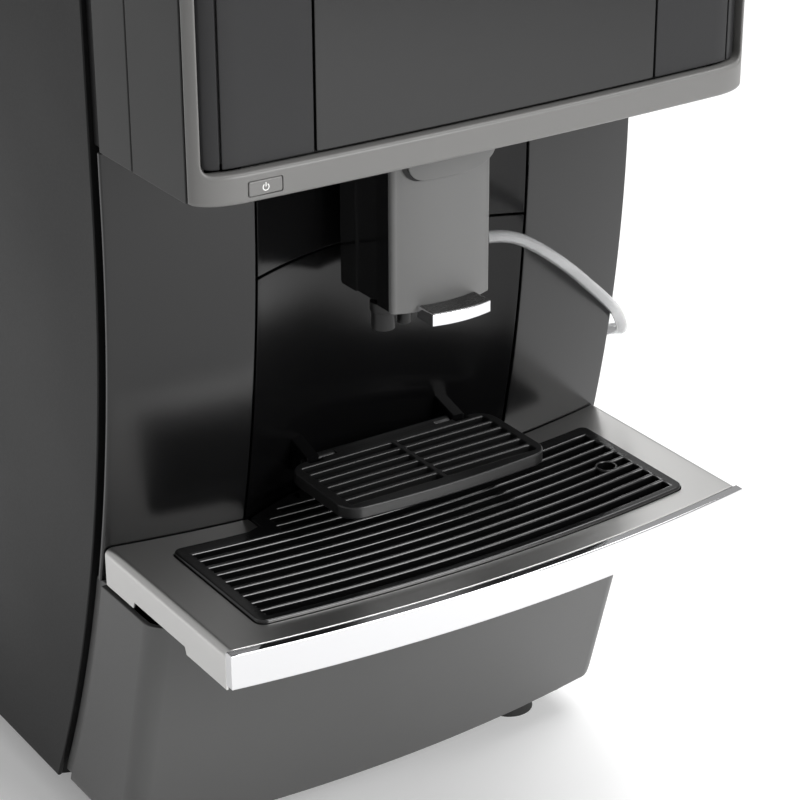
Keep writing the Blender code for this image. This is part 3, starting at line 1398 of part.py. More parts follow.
def make_drawer():
    z = DRAWER_FLOOR_Z + DRAWER_FLOOR
    xs = spread(-DRAWER_HALF, DRAWER_HALF, ARC_STEPS)
    edge = CHIN_HALF - CHIN_CORNER
    front = []
    for x in xs:
        face = chin_side_y(DRAWER_FLOOR_Z) - CHIN_BOW * (1 - (x / edge) ** 2) + CHIN_WALL
        front.append((x, face + DRAWER_FIT))
    outline = front + [(DRAWER_HALF, DRAWER_BACK_Y), (-DRAWER_HALF, DRAWER_BACK_Y)]
    floor = prism("drawer_floor", [outline], DRAWER_FLOOR_Z, z, ZINC)
    low_y = DRAWER_BACK_Y - CONTAINER_LENGTH - CONTAINER_WALL
    high_y = DRAWER_BACK_Y - CONTAINER_WALL
    base = z + FIT
    top = TRAY_Z - CONTAINER_TOP_DROP
    half = CONTAINER_HALF
    outer = rounded_rectangle(-half, low_y, half, high_y, CONTAINER_CORNER)
    box = prism("grounds_container", [outer], base, top, SMOKED)
    wall = CONTAINER_WALL
    low = (wall - half, low_y + wall)
    high = (half - wall, high_y - wall)
    inner = rounded_rectangle(*low, *high, CONTAINER_CORNER - wall)
    cut(box, prism("container_hollow", [inner], base + wall, top + OVERRUN, SMOKED))
    return floor, box


# Top: cover, bean hopper, water tank, powder chute and their lids

HOPPER_LOW_X = -0.010
HOPPER_SIDE_INSET = 0.0215
HOPPER_HIGH_X = HALF_WIDTH - HOPPER_SIDE_INSET
HOPPER_FROM_CHUTE = 0.062
HOPPER_LOW_Y = CHUTE_Y + HOPPER_FROM_CHUTE
HOPPER_BACK_INSET = 0.033
HOPPER_HIGH_Y = BACK_Y - HOPPER_BACK_INSET
HOPPER_CORNER = 0.012
HOPPER_WALL = 0.002
HOPPER_TAPER_DROP = 0.056
HOPPER_TAPER_Z = HEAD_TOP_Z - HOPPER_TAPER_DROP
HOPPER_THROAT_DROP = 0.111
HOPPER_THROAT_Z = HEAD_TOP_Z - HOPPER_THROAT_DROP
HOPPER_THROAT_HALF = 0.018
GRINDER_X = (HOPPER_LOW_X + HOPPER_HIGH_X) / 2
GRINDER_Y = (HOPPER_LOW_Y + HOPPER_HIGH_Y) / 2
TANK_SIDE_INSET = 0.0115
TANK_LOW_X = TANK_SIDE_INSET - HALF_WIDTH
TANK_HIGH_X = -0.048
TANK_FROM_CHUTE = 0.066
TANK_LOW_Y = CHUTE_Y + TANK_FROM_CHUTE
TANK_BACK_INSET = 0.020
TANK_HIGH_Y = BACK_Y - TANK_BACK_INSET
TANK_CORNER = 0.010
TANK_WALL = 0.0025
TANK_ABOVE_TRAY = 0.008
TANK_BOTTOM_Z = TRAY_Z + TANK_ABOVE_TRAY
RIM_REACH = 0.004
RIM_HEIGHT = 0.002
COVER_CORNER_RADIUS = 0.004
DIAL_INSET = 0.0435
DIAL_X = HALF_WIDTH - DIAL_INSET
DIAL_AHEAD = 0.004
DIAL_Y = CHUTE_Y - DIAL_AHEAD
KNURLS = 8
DIAL_RADIUS = 0.014
DIAL_HEIGHT = 0.010
DIAL_STEM = 0.004


def well(corners, grow, corner, steps=3):
    """A well's plan outline, larger all round by grow; corners holds its low and high plan corners."""
    low_x, low_y, high_x, high_y = corners
    return rounded_rectangle(low_x - grow, low_y - grow, high_x + grow, high_y + grow, corner, steps)


HOPPER_PLAN = (HOPPER_LOW_X, HOPPER_LOW_Y, HOPPER_HIGH_X, HOPPER_HIGH_Y)
TANK_PLAN = (TANK_LOW_X, TANK_LOW_Y, TANK_HIGH_X, TANK_HIGH_Y)
CHUTE_PLAN = (
    CHUTE_X - CHUTE_HALF_X,
    CHUTE_Y - CHUTE_HALF_Y,
    CHUTE_X + CHUTE_HALF_X,
    CHUTE_Y + CHUTE_HALF_Y,
)


def make_top_cover():
    half = HALF_WIDTH
    front = TRAY_CHORD_Y + HEAD_SIDE_SETBACK + FIT
    outline = rounded_rectangle(-half, front, half, BACK_Y, COVER_CORNER_RADIUS, steps=2)
    outlines = [outline]
    outlines.append(well(HOPPER_PLAN, RUN, HOPPER_CORNER))
    outlines.append(well(TANK_PLAN, RUN, TANK_CORNER))
    outlines.append(well(CHUTE_PLAN, RUN, CHUTE_WALL, steps=2))
    stem = DIAL_STEM + RUN
    sides = 2 * BORE_SIDES
    turn = [2 * math.pi * i / sides for i in range(sides)]
    outlines.append([(DIAL_X + stem * math.cos(a), DIAL_Y + stem * math.sin(a)) for a in turn])
    cover = prism("top_cover", outlines, DECK_TOP_Z, HEAD_TOP_Z, SATIN_BLACK)
    lip = head_front(BEZEL_DEPTH + FIT)
    side = HALF_WIDTH - BEZEL_DEPTH - FIT
    back = front + OVERRUN
    lip_outline = lip + [(side, back), (-side, back)]
    tongue = prism("cover_lip", [lip_outline], DECK_TOP_Z, HEAD_TOP_Z, SATIN_BLACK)
    return join(cover, tongue)


def make_bean_hopper():
    """A funnel that narrows to a square throat above the grinder."""
    wall = HOPPER_WALL

    def ring(grow, z):
        return [(x, y, z) for x, y in well(HOPPER_PLAN, grow, HOPPER_CORNER + grow)]

    def throat(grow, z):
        half = HOPPER_THROAT_HALF + grow
        centre = (GRINDER_X, GRINDER_Y, GRINDER_X, GRINDER_Y)
        return [(x, y, z) for x, y in well(centre, half, half / 2)]

    rim_z = HEAD_TOP_Z + FIT
    top_z = rim_z + RIM_HEIGHT
    neck_z = HOPPER_THROAT_Z + 3 * HOPPER_WALL
    sections = [
        ring(RIM_REACH, top_z),
        ring(RIM_REACH, rim_z),
        ring(0, rim_z),
        ring(0, HOPPER_TAPER_Z),
        throat(0, neck_z),
        throat(0, HOPPER_THROAT_Z),
        throat(-wall, HOPPER_THROAT_Z),
        throat(-wall, neck_z),
        ring(-wall, HOPPER_TAPER_Z + wall),
        ring(-wall, top_z),
    ]
    return loft("bean_hopper", sections, SMOKED, ring=True)


def make_water_tank():
    """A deep tank with a rim that hangs on the top cover."""
    wall = TANK_WALL
    top = HEAD_TOP_Z + FIT + RIM_HEIGHT
    outer = well(TANK_PLAN, 0, TANK_CORNER)
    rim = well(TANK_PLAN, RIM_REACH, TANK_CORNER + RIM_REACH)
    inner = well(TANK_PLAN, -wall, TANK_CORNER - wall)
    tank = prism("water_tank", [outer], TANK_BOTTOM_Z, top, SMOKED)
    join(tank, prism("tank_rim", [rim], HEAD_TOP_Z + FIT, top, SMOKED))
    cut(tank, prism("tank_hollow", [inner], TANK_BOTTOM_Z + wall, top + OVERRUN, SMOKED))
    return tank


LID_BASE_Z = HEAD_TOP_Z + 2 * FIT + RIM_HEIGHT
HOPPER_LID_HEIGHT = HEIGHT - LID_BASE_Z
FLAT_LID_HEIGHT = 0.0075
LID_REACH = 0.005
LID_WALL = 0.0025
HINGE_RADIUS = 0.0028
HINGE_GAP = 0.0012
LID_CORNER = 0.014
LID_SOFT = 0.004


def make_lid(name, plan, height, corner, material):
    """A moulded lid: hollow below, rounded above, with a hinge barrel along its back edge."""
    low_x, low_y, high_x, high_y = plan
    low = (low_x - LID_REACH, low_y - LID_REACH)
    high = (high_x + LID_REACH, high_y + LID_REACH)
    outer = rounded_rectangle(*low, *high, corner)
    lid = prism(name, [outer], LID_BASE_Z, LID_BASE_Z + height, material)
    soften(lid, min(LID_SOFT, height / 2), segments=2)
    wall = LID_WALL
    inner = well((*low, *high), -wall, corner - wall, steps=4)
    ceiling = LID_BASE_Z + height - wall
    cut(lid, prism(name + "_hollow", [inner], LID_BASE_Z - OVERRUN, ceiling, material))
    axis_y = high[1] + HINGE_RADIUS - HINGE_GAP
    axis_z = LID_BASE_Z + HINGE_RADIUS
    length = (high[0] - low[0]) / 2
    axis = ((low[0] + high[0]) / 2, axis_y, axis_z)
    join(lid, cylinder(name + "_barrel", axis, HINGE_RADIUS, length, material, "X", PIN_SIDES))
    joint_empty(name + "_hinge", axis, [lid])
    return lid


def make_powder_chute():
    """The straight chute for ground coffee, from the top cover down through the deck."""
    wall = CHUTE_WALL

    def ring(grow, z):
        corner = CHUTE_WALL + max(grow, -CHUTE_WALL / 2)
        return [(x, y, z) for x, y in well(CHUTE_PLAN, grow, corner, steps=2)]

    rim_z = HEAD_TOP_Z + FIT
    top_z = rim_z + RIM_HEIGHT
    low_z = DECK_Z - DECK_THICKNESS
    sections = [
        ring(RIM_REACH, top_z),
        ring(RIM_REACH, rim_z),
        ring(0, rim_z),
        ring(0, low_z),
        ring(-wall, low_z),
        ring(-wall, top_z),
    ]
    return loft("powder_chute", sections, SATIN_BLACK, ring=True)


def make_grind_dial():
    """The grind setting dial: a knurled knob on a stem through the top cover."""
    base = HEAD_TOP_Z + FIT
    profile = [
        (0, DIAL_HEIGHT),
        (DIAL_RADIUS - DIAL_STEM / 2, DIAL_HEIGHT),
        (DIAL_RADIUS, DIAL_HEIGHT - DIAL_STEM / 2),
        (DIAL_RADIUS, 0),
        (DIAL_STEM, 0),
        (DIAL_STEM, -DIAL_HEIGHT),
        (0, -DIAL_HEIGHT),
    ]
    dial = turned("grind_dial", profile, (DIAL_X, DIAL_Y, base), GLOSS_BLACK, steps=28)
    for i in range(KNURLS):
        angle = 2 * math.pi * i / KNURLS
        x = DIAL_X + DIAL_RADIUS * math.cos(angle)
        y = DIAL_Y + DIAL_RADIUS * math.sin(angle)
        centre = (x, y, base + DIAL_HEIGHT / 2)
        knurl = cylinder("knurl", centre, DIAL_STEM / 2, 2 * DIAL_HEIGHT, GLOSS_BLACK, "Z", BORE_SIDES)
        cut(dial, knurl)
    return dial


# Inside: grinder, brew unit, boiler and pump

GRINDER_RADIUS = 0.042
GRINDER_BORE = 0.024
GRINDER_BORE_DEPTH = 0.036
BURR_RADIUS = 0.0225
BURR_TOP_RADIUS = 0.006
BURR_HEIGHT = 0.026
BURR_SKIRT = 0.008
GRINDER_NECK_SHARE = 0.80
GRINDER_SHOULDER = 0.010
BREW_LOW_X = -0.045
BREW_HIGH_X = 0.040
BREW_DEPTH = 0.082
BREW_HEIGHT = 0.120
BREW_BORE = 0.0250
BREW_BORE_DEPTH = 0.085
BREW_SIDES = 32
PISTON_RADIUS = 0.0244
PISTON_HEIGHT = 0.018
BOILER_ROOM = BACK_Y - SOCKET_DEPTH - DRAWER_BACK_Y
BOILER_ROOM_SHARE = 0.2456
BOILER_SIDE_INSET = 0.0665
BOILER_X = HALF_WIDTH - BOILER_SIDE_INSET
BOILER_Y = DRAWER_BACK_Y + BOILER_ROOM / 2
BOILER_RADIUS = BOILER_ROOM * BOILER_ROOM_SHARE
BOILER_HEIGHT = 0.125
PUMP_SIDE_INSET = 0.0595
PUMP_X = PUMP_SIDE_INSET - HALF_WIDTH
PUMP_Y = BOILER_Y
PUMP_RADIUS = 0.021
PUMP_ROOM_SHARE = 0.5614
PUMP_LENGTH = BOILER_ROOM * PUMP_ROOM_SHARE
PUMP_FOOT = 0.010
PISTON_CHAMFER = 0.0015


def make_grinder():
    """The grinder stands on the deck with its burr chamber open to the hopper's throat."""
    base = DECK_Z + DECK_THICKNESS + FIT
    top = HOPPER_THROAT_Z - FIT
    neck = top - GRINDER_BORE_DEPTH
    profile = [
        (0, neck),
        (GRINDER_BORE, neck),
        (GRINDER_BORE, top),
        (GRINDER_RADIUS * GRINDER_NECK_SHARE, top),
        (GRINDER_RADIUS * GRINDER_NECK_SHARE, neck),
        (GRINDER_RADIUS, neck - GRINDER_SHOULDER),
        (GRINDER_RADIUS, base),
        (0, base),
    ]
    grinder = turned("grinder", profile, (GRINDER_X, GRINDER_Y, 0), ALUMINIUM)
    burr_profile = [
        (0, BURR_HEIGHT),
        (BURR_TOP_RADIUS, BURR_HEIGHT),
        (BURR_RADIUS, BURR_SKIRT),
        (BURR_RADIUS, 0),
        (0, 0),
    ]
    burr = turned("grinder_burr", burr_profile, (GRINDER_X, GRINDER_Y, neck + FIT), STEEL)
    return grinder, burr


def make_brew_unit():
    """The brewing chamber's frame and its piston, carried on the bulkhead."""
    low_y = BULKHEAD_Y + BULKHEAD_WALL + FIT
    top = DECK_Z - DECK_THICKNESS - FIT
    low = (BREW_LOW_X, low_y, top - BREW_HEIGHT)
    high = (BREW_HIGH_X, low_y + BREW_DEPTH, top)
    housing = block("brew_unit", low, high, SATIN_BLACK)
    centre_x = (BREW_LOW_X + BREW_HIGH_X) / 2
    centre_y = low_y + BREW_DEPTH / 2
    bore_low = top - BREW_BORE_DEPTH
    bore_length = BREW_BORE_DEPTH + OVERRUN
    centre = (centre_x, centre_y, bore_low + bore_length / 2)
    cut(housing, cylinder("brew_bore", centre, BREW_BORE, bore_length, SATIN_BLACK, "Z", BREW_SIDES))
    piston_base = bore_low + FIT
    profile = [
        (0, PISTON_HEIGHT),
        (PISTON_RADIUS - PISTON_CHAMFER, PISTON_HEIGHT),
        (PISTON_RADIUS, PISTON_HEIGHT - PISTON_CHAMFER),
        (PISTON_RADIUS, 0),
        (0, 0),
    ]
    centre = (centre_x, centre_y, piston_base)
    piston = turned("brew_piston", profile, centre, GLOSS_BLACK, steps=BREW_SIDES)
    joint_empty("brew_piston_axis", centre, [piston])
    return housing, piston


def make_boiler():
    base = FOOT_HEIGHT + PAN_FLOOR + FIT
    dome = BOILER_RADIUS / 3
    profile = [(0, BOILER_HEIGHT)]
    for i in range(1, 5):
        angle = RIGHT_ANGLE * i / 4
        profile.append((BOILER_RADIUS * math.sin(angle), BOILER_HEIGHT - dome + dome * math.cos(angle)))
    profile += [(BOILER_RADIUS, 0), (0, 0)]
    return turned("boiler", profile, (BOILER_X, BOILER_Y, base), STEEL)


def make_pump():
    base = FOOT_HEIGHT + PAN_FLOOR + FIT
    axis_z = base + PUMP_FOOT + PUMP_RADIUS
    pump = cylinder("water_pump", (PUMP_X, PUMP_Y, axis_z), PUMP_RADIUS, PUMP_LENGTH, ALUMINIUM, "Y")
    foot = block(
        "pump_foot",
        (PUMP_X - PUMP_RADIUS / 2, PUMP_Y - PUMP_LENGTH / 3, base),
        (PUMP_X + PUMP_RADIUS / 2, PUMP_Y + PUMP_LENGTH / 3, axis_z),
        RUBBER,
    )
    return join(pump, foot)


# Milk hose: silicone tube from the spout's port to the inlet on the right side panel

INLET_SETBACK = 0.1457
INLET_RISE = 0.0311
INLET_RADIUS = 0.0085
INLET_PROUD = 0.0018
HOSE_SAMPLES = 28
HOSE_STEPS = 12
HOSE_START = (
    COVER_HALF + FIT + PORT_LENGTH + FIT,
    TRAY_CHORD_Y + PORT_SETBACK,
    TRAY_Z + PORT_RISE,
)
HOSE_END = (
    HALF_WIDTH + FIT + INLET_PROUD + FIT,
    TRAY_CHORD_Y + INLET_SETBACK,
    TRAY_Z + INLET_RISE,
)
HOSE_ROUTE_SHARES = (
    (0, 0, 0),
    (0.0822, 0, 0),
    (0.1902, 0.0277, 0.0617),
    (0.3465, 0.0982, 0.1737),
    (0.5334, 0.2194, 0.328),
    (0.6898, 0.321, 0.4718),
    (0.8388, 0.4273, 0.6111),
    (0.9823, 0.5774, 0.7487),
    (1.103, 0.7356, 0.9021),
    (1.138, 0.8637, 0.9541),
    (1.115, 0.9561, 0.9841),
    (1.061, 1, 1),
    (1, 1, 1),
)


def hose_nodes():
    """The route's points, each given by its shares of the way from the port to the inlet."""
    nodes = []
    for shares in HOSE_ROUTE_SHARES:
        nodes.append([a + (b - a) * share for a, b, share in zip(HOSE_START, HOSE_END, shares)])
    return nodes


def smooth_route(points, samples):
    """Even samples of a Catmull-Rom curve through the route's points."""
    nodes = [Vector(p) for p in points]
    nodes = [2 * nodes[0] - nodes[1]] + nodes + [2 * nodes[-1] - nodes[-2]]
    fine = []
    for a, b, c, d in zip(nodes, nodes[1:], nodes[2:], nodes[3:]):
        for i in range(HOSE_STEPS):
            t = i / HOSE_STEPS
            squared = (2 * a - 5 * b + 4 * c - d) * t**2
            cubed = (3 * b - a - 3 * c + d) * t**3
            fine.append((2 * b + (c - a) * t + squared + cubed) / 2)
    fine.append(nodes[-2])
    lengths = [0.0]
    for a, b in zip(fine, fine[1:]):
        lengths.append(lengths[-1] + (b - a).length)
    route = []
    k = 0
    for i in range(samples + 1):
        target = lengths[-1] * i / samples
        while k < len(lengths) - 2 and lengths[k + 1] < target:
            k += 1
        span = lengths[k + 1] - lengths[k]
        share = (target - lengths[k]) / span if span else 0.0
        route.append(fine[k].lerp(fine[k + 1], min(1.0, max(0.0, share))))
    return route


def make_milk_hose():
    curve = bpy.data.curves.new("milk_hose", "CURVE")
    curve.dimensions = "3D"
    curve.bevel_depth = HOSE_RADIUS
    curve.bevel_resolution = 3
    curve.use_fill_caps = True
    route = smooth_route(hose_nodes(), HOSE_SAMPLES)
    spline = curve.splines.new("POLY")
    spline.points.add(len(route) - 1)
    for point, place_at in zip(spline.points, route):
        point.co = (*place_at, 1)
    hose = bpy.data.objects.new("milk_hose", curve)
    COLLECTION.objects.link(hose)
    curve.materials.append(SILICONE)
    return hose


def make_milk_inlet():
    """The round gland on the right side panel that takes the hose's far end."""
    x = HALF_WIDTH + FIT
    centre = (x + INLET_PROUD / 2, TRAY_CHORD_Y + INLET_SETBACK, TRAY_Z + INLET_RISE)
    return cylinder("milk_inlet", centre, INLET_RADIUS, INLET_PROUD, GLOSS_BLACK, "X", 24)


make_base_pan()
make_feet()
make_side_panel(-1, "side_panel_left")
make_side_panel(1, "side_panel_right")
make_rear_panel()
make_mains_inlet()
make_main_switch()
make_tray_shelf()
make_bulkhead()
make_middle_deck()
make_pillar(-1, "pillar_left")
make_pillar(1, "pillar_right")
make_bay_panels()
make_head_frame()
make_power_button()
make_head_panels()
make_head_cover(-1, "head_cover_left")
make_head_cover(1, "head_cover_right")
make_head_underside()
spout_pieces = [
    make_spout_cover(),
    make_spout_body(),
    make_spout_lip(),
    make_coffee_outlet(),
    nozzle("hot_water_nozzle", WATER_X, WATER_RADIUS, WATER_BORE, WATER_COLLAR, GLOSS_BLACK),
    make_milk_port(),
]
joint_empty("spout_slide_axis", (0, TRAY_CHORD_Y + SPOUT_BODY_BACK, TRAY_Z + COVER_BOTTOM_RISE), spout_pieces)
make_spout_collar()
make_spout_guide()
tray_pieces = [make_tray_top(), make_tray_bar(), make_drip_basin()]
joint_empty("drip_tray_slide_axis", (0, TRAY_CHORD_Y, TRAY_Z), tray_pieces)
joint_empty("grille_lift_axis", (0, TRAY_CHORD_Y, TRAY_Z), [make_grille()])
make_float()
make_cup_platform()
drawer_pieces = [make_lower_front(), *make_drawer()]
joint_empty("grounds_drawer_slide_axis", (0, TRAY_CHORD_Y, DRAWER_FLOOR_Z), drawer_pieces)
make_top_cover()
make_bean_hopper()
joint_empty("water_tank_lift_axis", (TANK_LOW_X, TANK_LOW_Y, TANK_BOTTOM_Z), [make_water_tank()])
make_lid("hopper_lid", HOPPER_PLAN, HOPPER_LID_HEIGHT, LID_CORNER, SATIN_BLACK)
make_lid("tank_lid", TANK_PLAN, FLAT_LID_HEIGHT, LID_CORNER, SATIN_BLACK)
make_lid("powder_lid", CHUTE_PLAN, FLAT_LID_HEIGHT, COLLAR_CORNER, SATIN_BLACK)
make_powder_chute()
make_grind_dial()
make_grinder()
make_brew_unit()
make_boiler()
make_pump()
make_milk_hose()
make_milk_inlet()
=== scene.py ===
import math

import bmesh
import bpy
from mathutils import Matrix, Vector


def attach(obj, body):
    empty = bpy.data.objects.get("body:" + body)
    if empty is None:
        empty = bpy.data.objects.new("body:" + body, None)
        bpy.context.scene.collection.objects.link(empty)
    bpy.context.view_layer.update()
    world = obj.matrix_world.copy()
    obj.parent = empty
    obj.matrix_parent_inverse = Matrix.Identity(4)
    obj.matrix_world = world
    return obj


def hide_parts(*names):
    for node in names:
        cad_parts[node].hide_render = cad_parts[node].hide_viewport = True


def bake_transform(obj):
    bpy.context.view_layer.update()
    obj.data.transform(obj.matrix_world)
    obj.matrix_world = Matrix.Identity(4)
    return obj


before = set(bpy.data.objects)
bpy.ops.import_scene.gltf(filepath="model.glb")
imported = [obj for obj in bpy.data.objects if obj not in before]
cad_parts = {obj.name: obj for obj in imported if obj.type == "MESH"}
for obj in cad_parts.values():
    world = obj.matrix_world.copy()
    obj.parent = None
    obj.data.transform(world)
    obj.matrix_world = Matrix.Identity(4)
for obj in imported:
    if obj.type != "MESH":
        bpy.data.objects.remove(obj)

for leftover in ("Cube", "Light", "Camera"):
    if bpy.data.objects.get(leftover):
        bpy.data.objects.remove(bpy.data.objects[leftover])
bpy.context.view_layer.update()


# Camera, soft studio light and the plain pale floor.
# The camera stands to the left of the machine's front and looks down on the tray,
# with a long lens, as a product photographer's does.
FLOOR_GREY = 0.86
FLOOR_LIFT = 0.18
STUDIO_LEVEL = 0.42

scene = bpy.context.scene
scene.view_settings.view_transform = "Standard"
lens = bpy.data.cameras.new("studio_camera")
lens.lens = 113.352
lens.sensor_width = 36
lens.clip_end = 30
camera = bpy.data.objects.new("studio_camera", lens)
camera.location = (-0.62741, -1.07773, 0.77907)
camera.rotation_euler = [math.radians(a) for a in (64.99708, 0.21456, -33.41488)]
scene.collection.objects.link(camera)
scene.camera = camera


def softbox(name, place, target, width, height, power):
    """A soft rectangular lamp that faces a point on the machine."""
    lamp = bpy.data.lights.new(name, "AREA")
    lamp.shape = "RECTANGLE"
    lamp.size = width
    lamp.size_y = height
    lamp.energy = power
    holder = bpy.data.objects.new(name, lamp)
    holder.location = place
    holder.rotation_euler = (Vector(target) - Vector(place)).to_track_quat("-Z", "Y").to_euler()
    holder.visible_camera = False
    scene.collection.objects.link(holder)


def given(node, values):
    """Sets constants on a shader node's own sockets."""
    for socket, value in values.items():
        node.inputs[socket].default_value = value
    return node


def added(tree, kind, values=(), **settings):
    """Adds a shader node with its settings and the values of its sockets."""
    node = tree.nodes.new("ShaderNode" + kind)
    for setting, value in settings.items():
        setattr(node, setting, value)
    return given(node, dict(values))


def wired(tree, *wires):
    """Links one node's output to another node's input for each wire."""
    for source, output, target, socket in wires:
        tree.links.new(source.outputs[output], target.inputs[socket])


softbox("key_softbox", (0.50, -1.80, 1.00), (0.0, -0.15, 0.30), 1.1, 0.9, 25.0)
softbox("fill_softbox", (-1.7, 0.6, 1.3), (0.0, -0.1, 0.30), 1.2, 1.2, 2.0)
softbox("top_softbox", (0.75, -0.25, 2.0), (0.0, -0.1, 0.30), 1.4, 1.4, 24.0)
softbox("rear_softbox", (0.7, 1.8, 1.3), (0.0, 0.1, 0.30), 1.4, 1.1, 14.0)

studio = bpy.data.worlds.new("studio")
studio.use_nodes = True
backdrop = studio.node_tree.nodes["Background"]
given(backdrop, {"Color": (1.0, 1.0, 1.0, 1.0), "Strength": STUDIO_LEVEL})
scene.world = studio

bpy.ops.mesh.primitive_grid_add(x_subdivisions=6, y_subdivisions=6, size=12, location=(0, 0, 0))
floor = bpy.context.active_object
floor.name = "studio_floor"
paint = bpy.data.materials.new("pale_floor")
paint.use_nodes = True
tree = paint.node_tree
matt = given(tree.nodes["Principled BSDF"], {
    "Base Color": (FLOOR_GREY, FLOOR_GREY, FLOOR_GREY, 1.0), "Roughness": 0.9, "Specular IOR Level": 0.0,
})
ray = added(tree, "LightPath")
seen = added(tree, "Math", operation="MAXIMUM")
passed = added(tree, "Math", operation="MAXIMUM")
lift = added(tree, "Math", {1: FLOOR_LIFT}, operation="MULTIPLY")
glow = added(tree, "Emission")
both = added(tree, "AddShader")
wired(
    tree,
    (ray, "Is Camera Ray", seen, 0),
    (ray, "Is Glossy Ray", seen, 1),
    (seen, 0, passed, 0),
    (ray, "Is Transmission Ray", passed, 1),
    (passed, 0, lift, 0),
    (lift, 0, glow, "Strength"),
    (matt, 0, both, 0),
    (glow, 0, both, 1),
    (both, 0, tree.nodes["Material Output"], "Surface"),
)
floor.data.materials.append(paint)


# The milk hose: a soft silicone tube with a bore, pushed over the port on the spout's cover.
# It falls in one loop across the right pillar and turns back into the inlet on the side panel.
HOSE_RADIUS = 0.0031
HOSE_WALL = 0.0010
HOSE_SAMPLES = 84
HOSE_ROUTE = (
    (0.0298, -0.1535, 0.3369),
    (0.0400, -0.1535, 0.3352),
    (0.0534, -0.1511, 0.3295),
    (0.0728, -0.1450, 0.3168),
    (0.0960, -0.1345, 0.2993),
    (0.1154, -0.1257, 0.2830),
    (0.1339, -0.1165, 0.2672),
    (0.1517, -0.1035, 0.2516),
    (0.1667, -0.0898, 0.2342),
    (0.1710, -0.0787, 0.2283),
    (0.1682, -0.0707, 0.2249),
    (0.1615, -0.0669, 0.2231),
    (0.1539, -0.0669, 0.2231),
)
BLACK_LIFT = 0.0002
WELD = 0.000001


def done():
    bpy.ops.object.mode_set(mode="OBJECT")


def alone(piece):
    """Leaves only this piece selected and active."""
    if bpy.context.object and bpy.context.object.mode != "OBJECT":
        done()
    bpy.ops.object.select_all(action="DESELECT")
    piece.select_set(True)
    bpy.context.view_layer.objects.active = piece
    return piece


def applied(piece):
    """Puts a piece's place, turn and scale into its mesh."""
    alone(piece)
    bpy.ops.object.transform_apply(location=True, rotation=True, scale=True)
    return piece


def worked(piece, kind, **settings):
    """Applies one modifier with its settings."""
    alone(piece)
    modifier = piece.modifiers.new(kind.lower(), kind)
    for setting, value in settings.items():
        setattr(modifier, setting, value)
    bpy.ops.object.modifier_apply(modifier=modifier.name)
    return piece


def welded(piece, holes=False):
    """Merges doubled points, fills open ends where asked, and turns all faces outwards."""
    alone(piece)
    bpy.ops.object.mode_set(mode="EDIT")
    bpy.ops.mesh.select_all(action="SELECT")
    bpy.ops.mesh.remove_doubles(threshold=WELD)
    if holes:
        bpy.ops.mesh.fill_holes(sides=0)
        bpy.ops.mesh.select_all(action="SELECT")
    bpy.ops.mesh.normals_make_consistent(inside=False)
    done()
    return piece


def settled(piece, name, material, smooth=32):
    """Puts a piece's place into its mesh, and gives it its name, finish and smooth shading."""
    applied(piece)
    bpy.ops.object.shade_smooth_by_angle(angle=math.radians(smooth))
    if smooth < 60:
        worked(piece, "WEIGHTED_NORMAL", keep_sharp=True, weight=60)
    piece.name = name
    piece.data.name = name
    piece.data.materials.clear()
    piece.data.materials.append(material)


def fitted(piece, name, material, slot, body, *nodes_it_stands_for, smooth=32):
    """Settles a piece and lets it ride on a body, in the place of CAD nodes."""
    settled(piece, name, material, smooth)
    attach(piece, body)
    if nodes_it_stands_for:
        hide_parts(*nodes_it_stands_for)


def grained(name, colour, shade, rough, grain, depth, slow=9.0, stretch=(1.0, 1.0, 1.0),
            specular=0.5, metallic=0.0, clear=None):
    """A finish whose shade drifts slowly and whose relief and gloss follow a fine grain."""
    material = bpy.data.materials.new(name)
    material.use_nodes = True
    tree = material.node_tree
    shader = tree.nodes["Principled BSDF"]
    given(shader, {"Specular IOR Level": specular, "Metallic": metallic})
    if clear:
        given(shader, {"Transmission Weight": clear[0], "IOR": clear[1]})
    where = added(tree, "TexCoord")
    mapping = added(tree, "Mapping", {"Scale": stretch})
    cloud = added(tree, "TexNoise", {"Scale": slow, "Detail": 3.0})
    speck = added(tree, "TexNoise", {"Scale": grain, "Detail": 3.0, "Roughness": 0.6})
    tint = added(tree, "Mix", data_type="RGBA")
    given(tint, {6: (*colour, 1.0), 7: (*shade, 1.0)})
    blend = added(tree, "Math", {1: 0.5}, operation="MULTIPLY_ADD")
    half = added(tree, "Math", {1: 0.5}, operation="MULTIPLY")
    gloss = added(tree, "MapRange", {
        "From Min": 0.25, "From Max": 0.75, "To Min": rough[0], "To Max": rough[1],
    })
    relief = added(tree, "Bump", {"Strength": 1.0, "Distance": depth})
    wired(
        tree,
        (where, "Object", mapping, "Vector"),
        (where, "Object", cloud, "Vector"),
        (mapping, "Vector", speck, "Vector"),
        (cloud, "Fac", tint, 0),
        (tint, 2, shader, "Base Color"),
        (speck, "Fac", blend, 0),
        (cloud, "Fac", half, 0),
        (half, 0, blend, 2),
        (blend, 0, gloss, "Value"),
        (gloss, "Result", shader, "Roughness"),
        (speck, "Fac", relief, "Height"),
        (relief, "Normal", shader, "Normal"),
    )
    return material


def blackened(name, deep, pale, rough, grain, depth, specular=0.5):
    """A black plastic or coating with a trace of blue."""
    colour, shade = [(level, level, level + BLACK_LIFT) for level in (deep, pale)]
    return grained(name, colour, shade, rough, grain, depth, specular=specular)


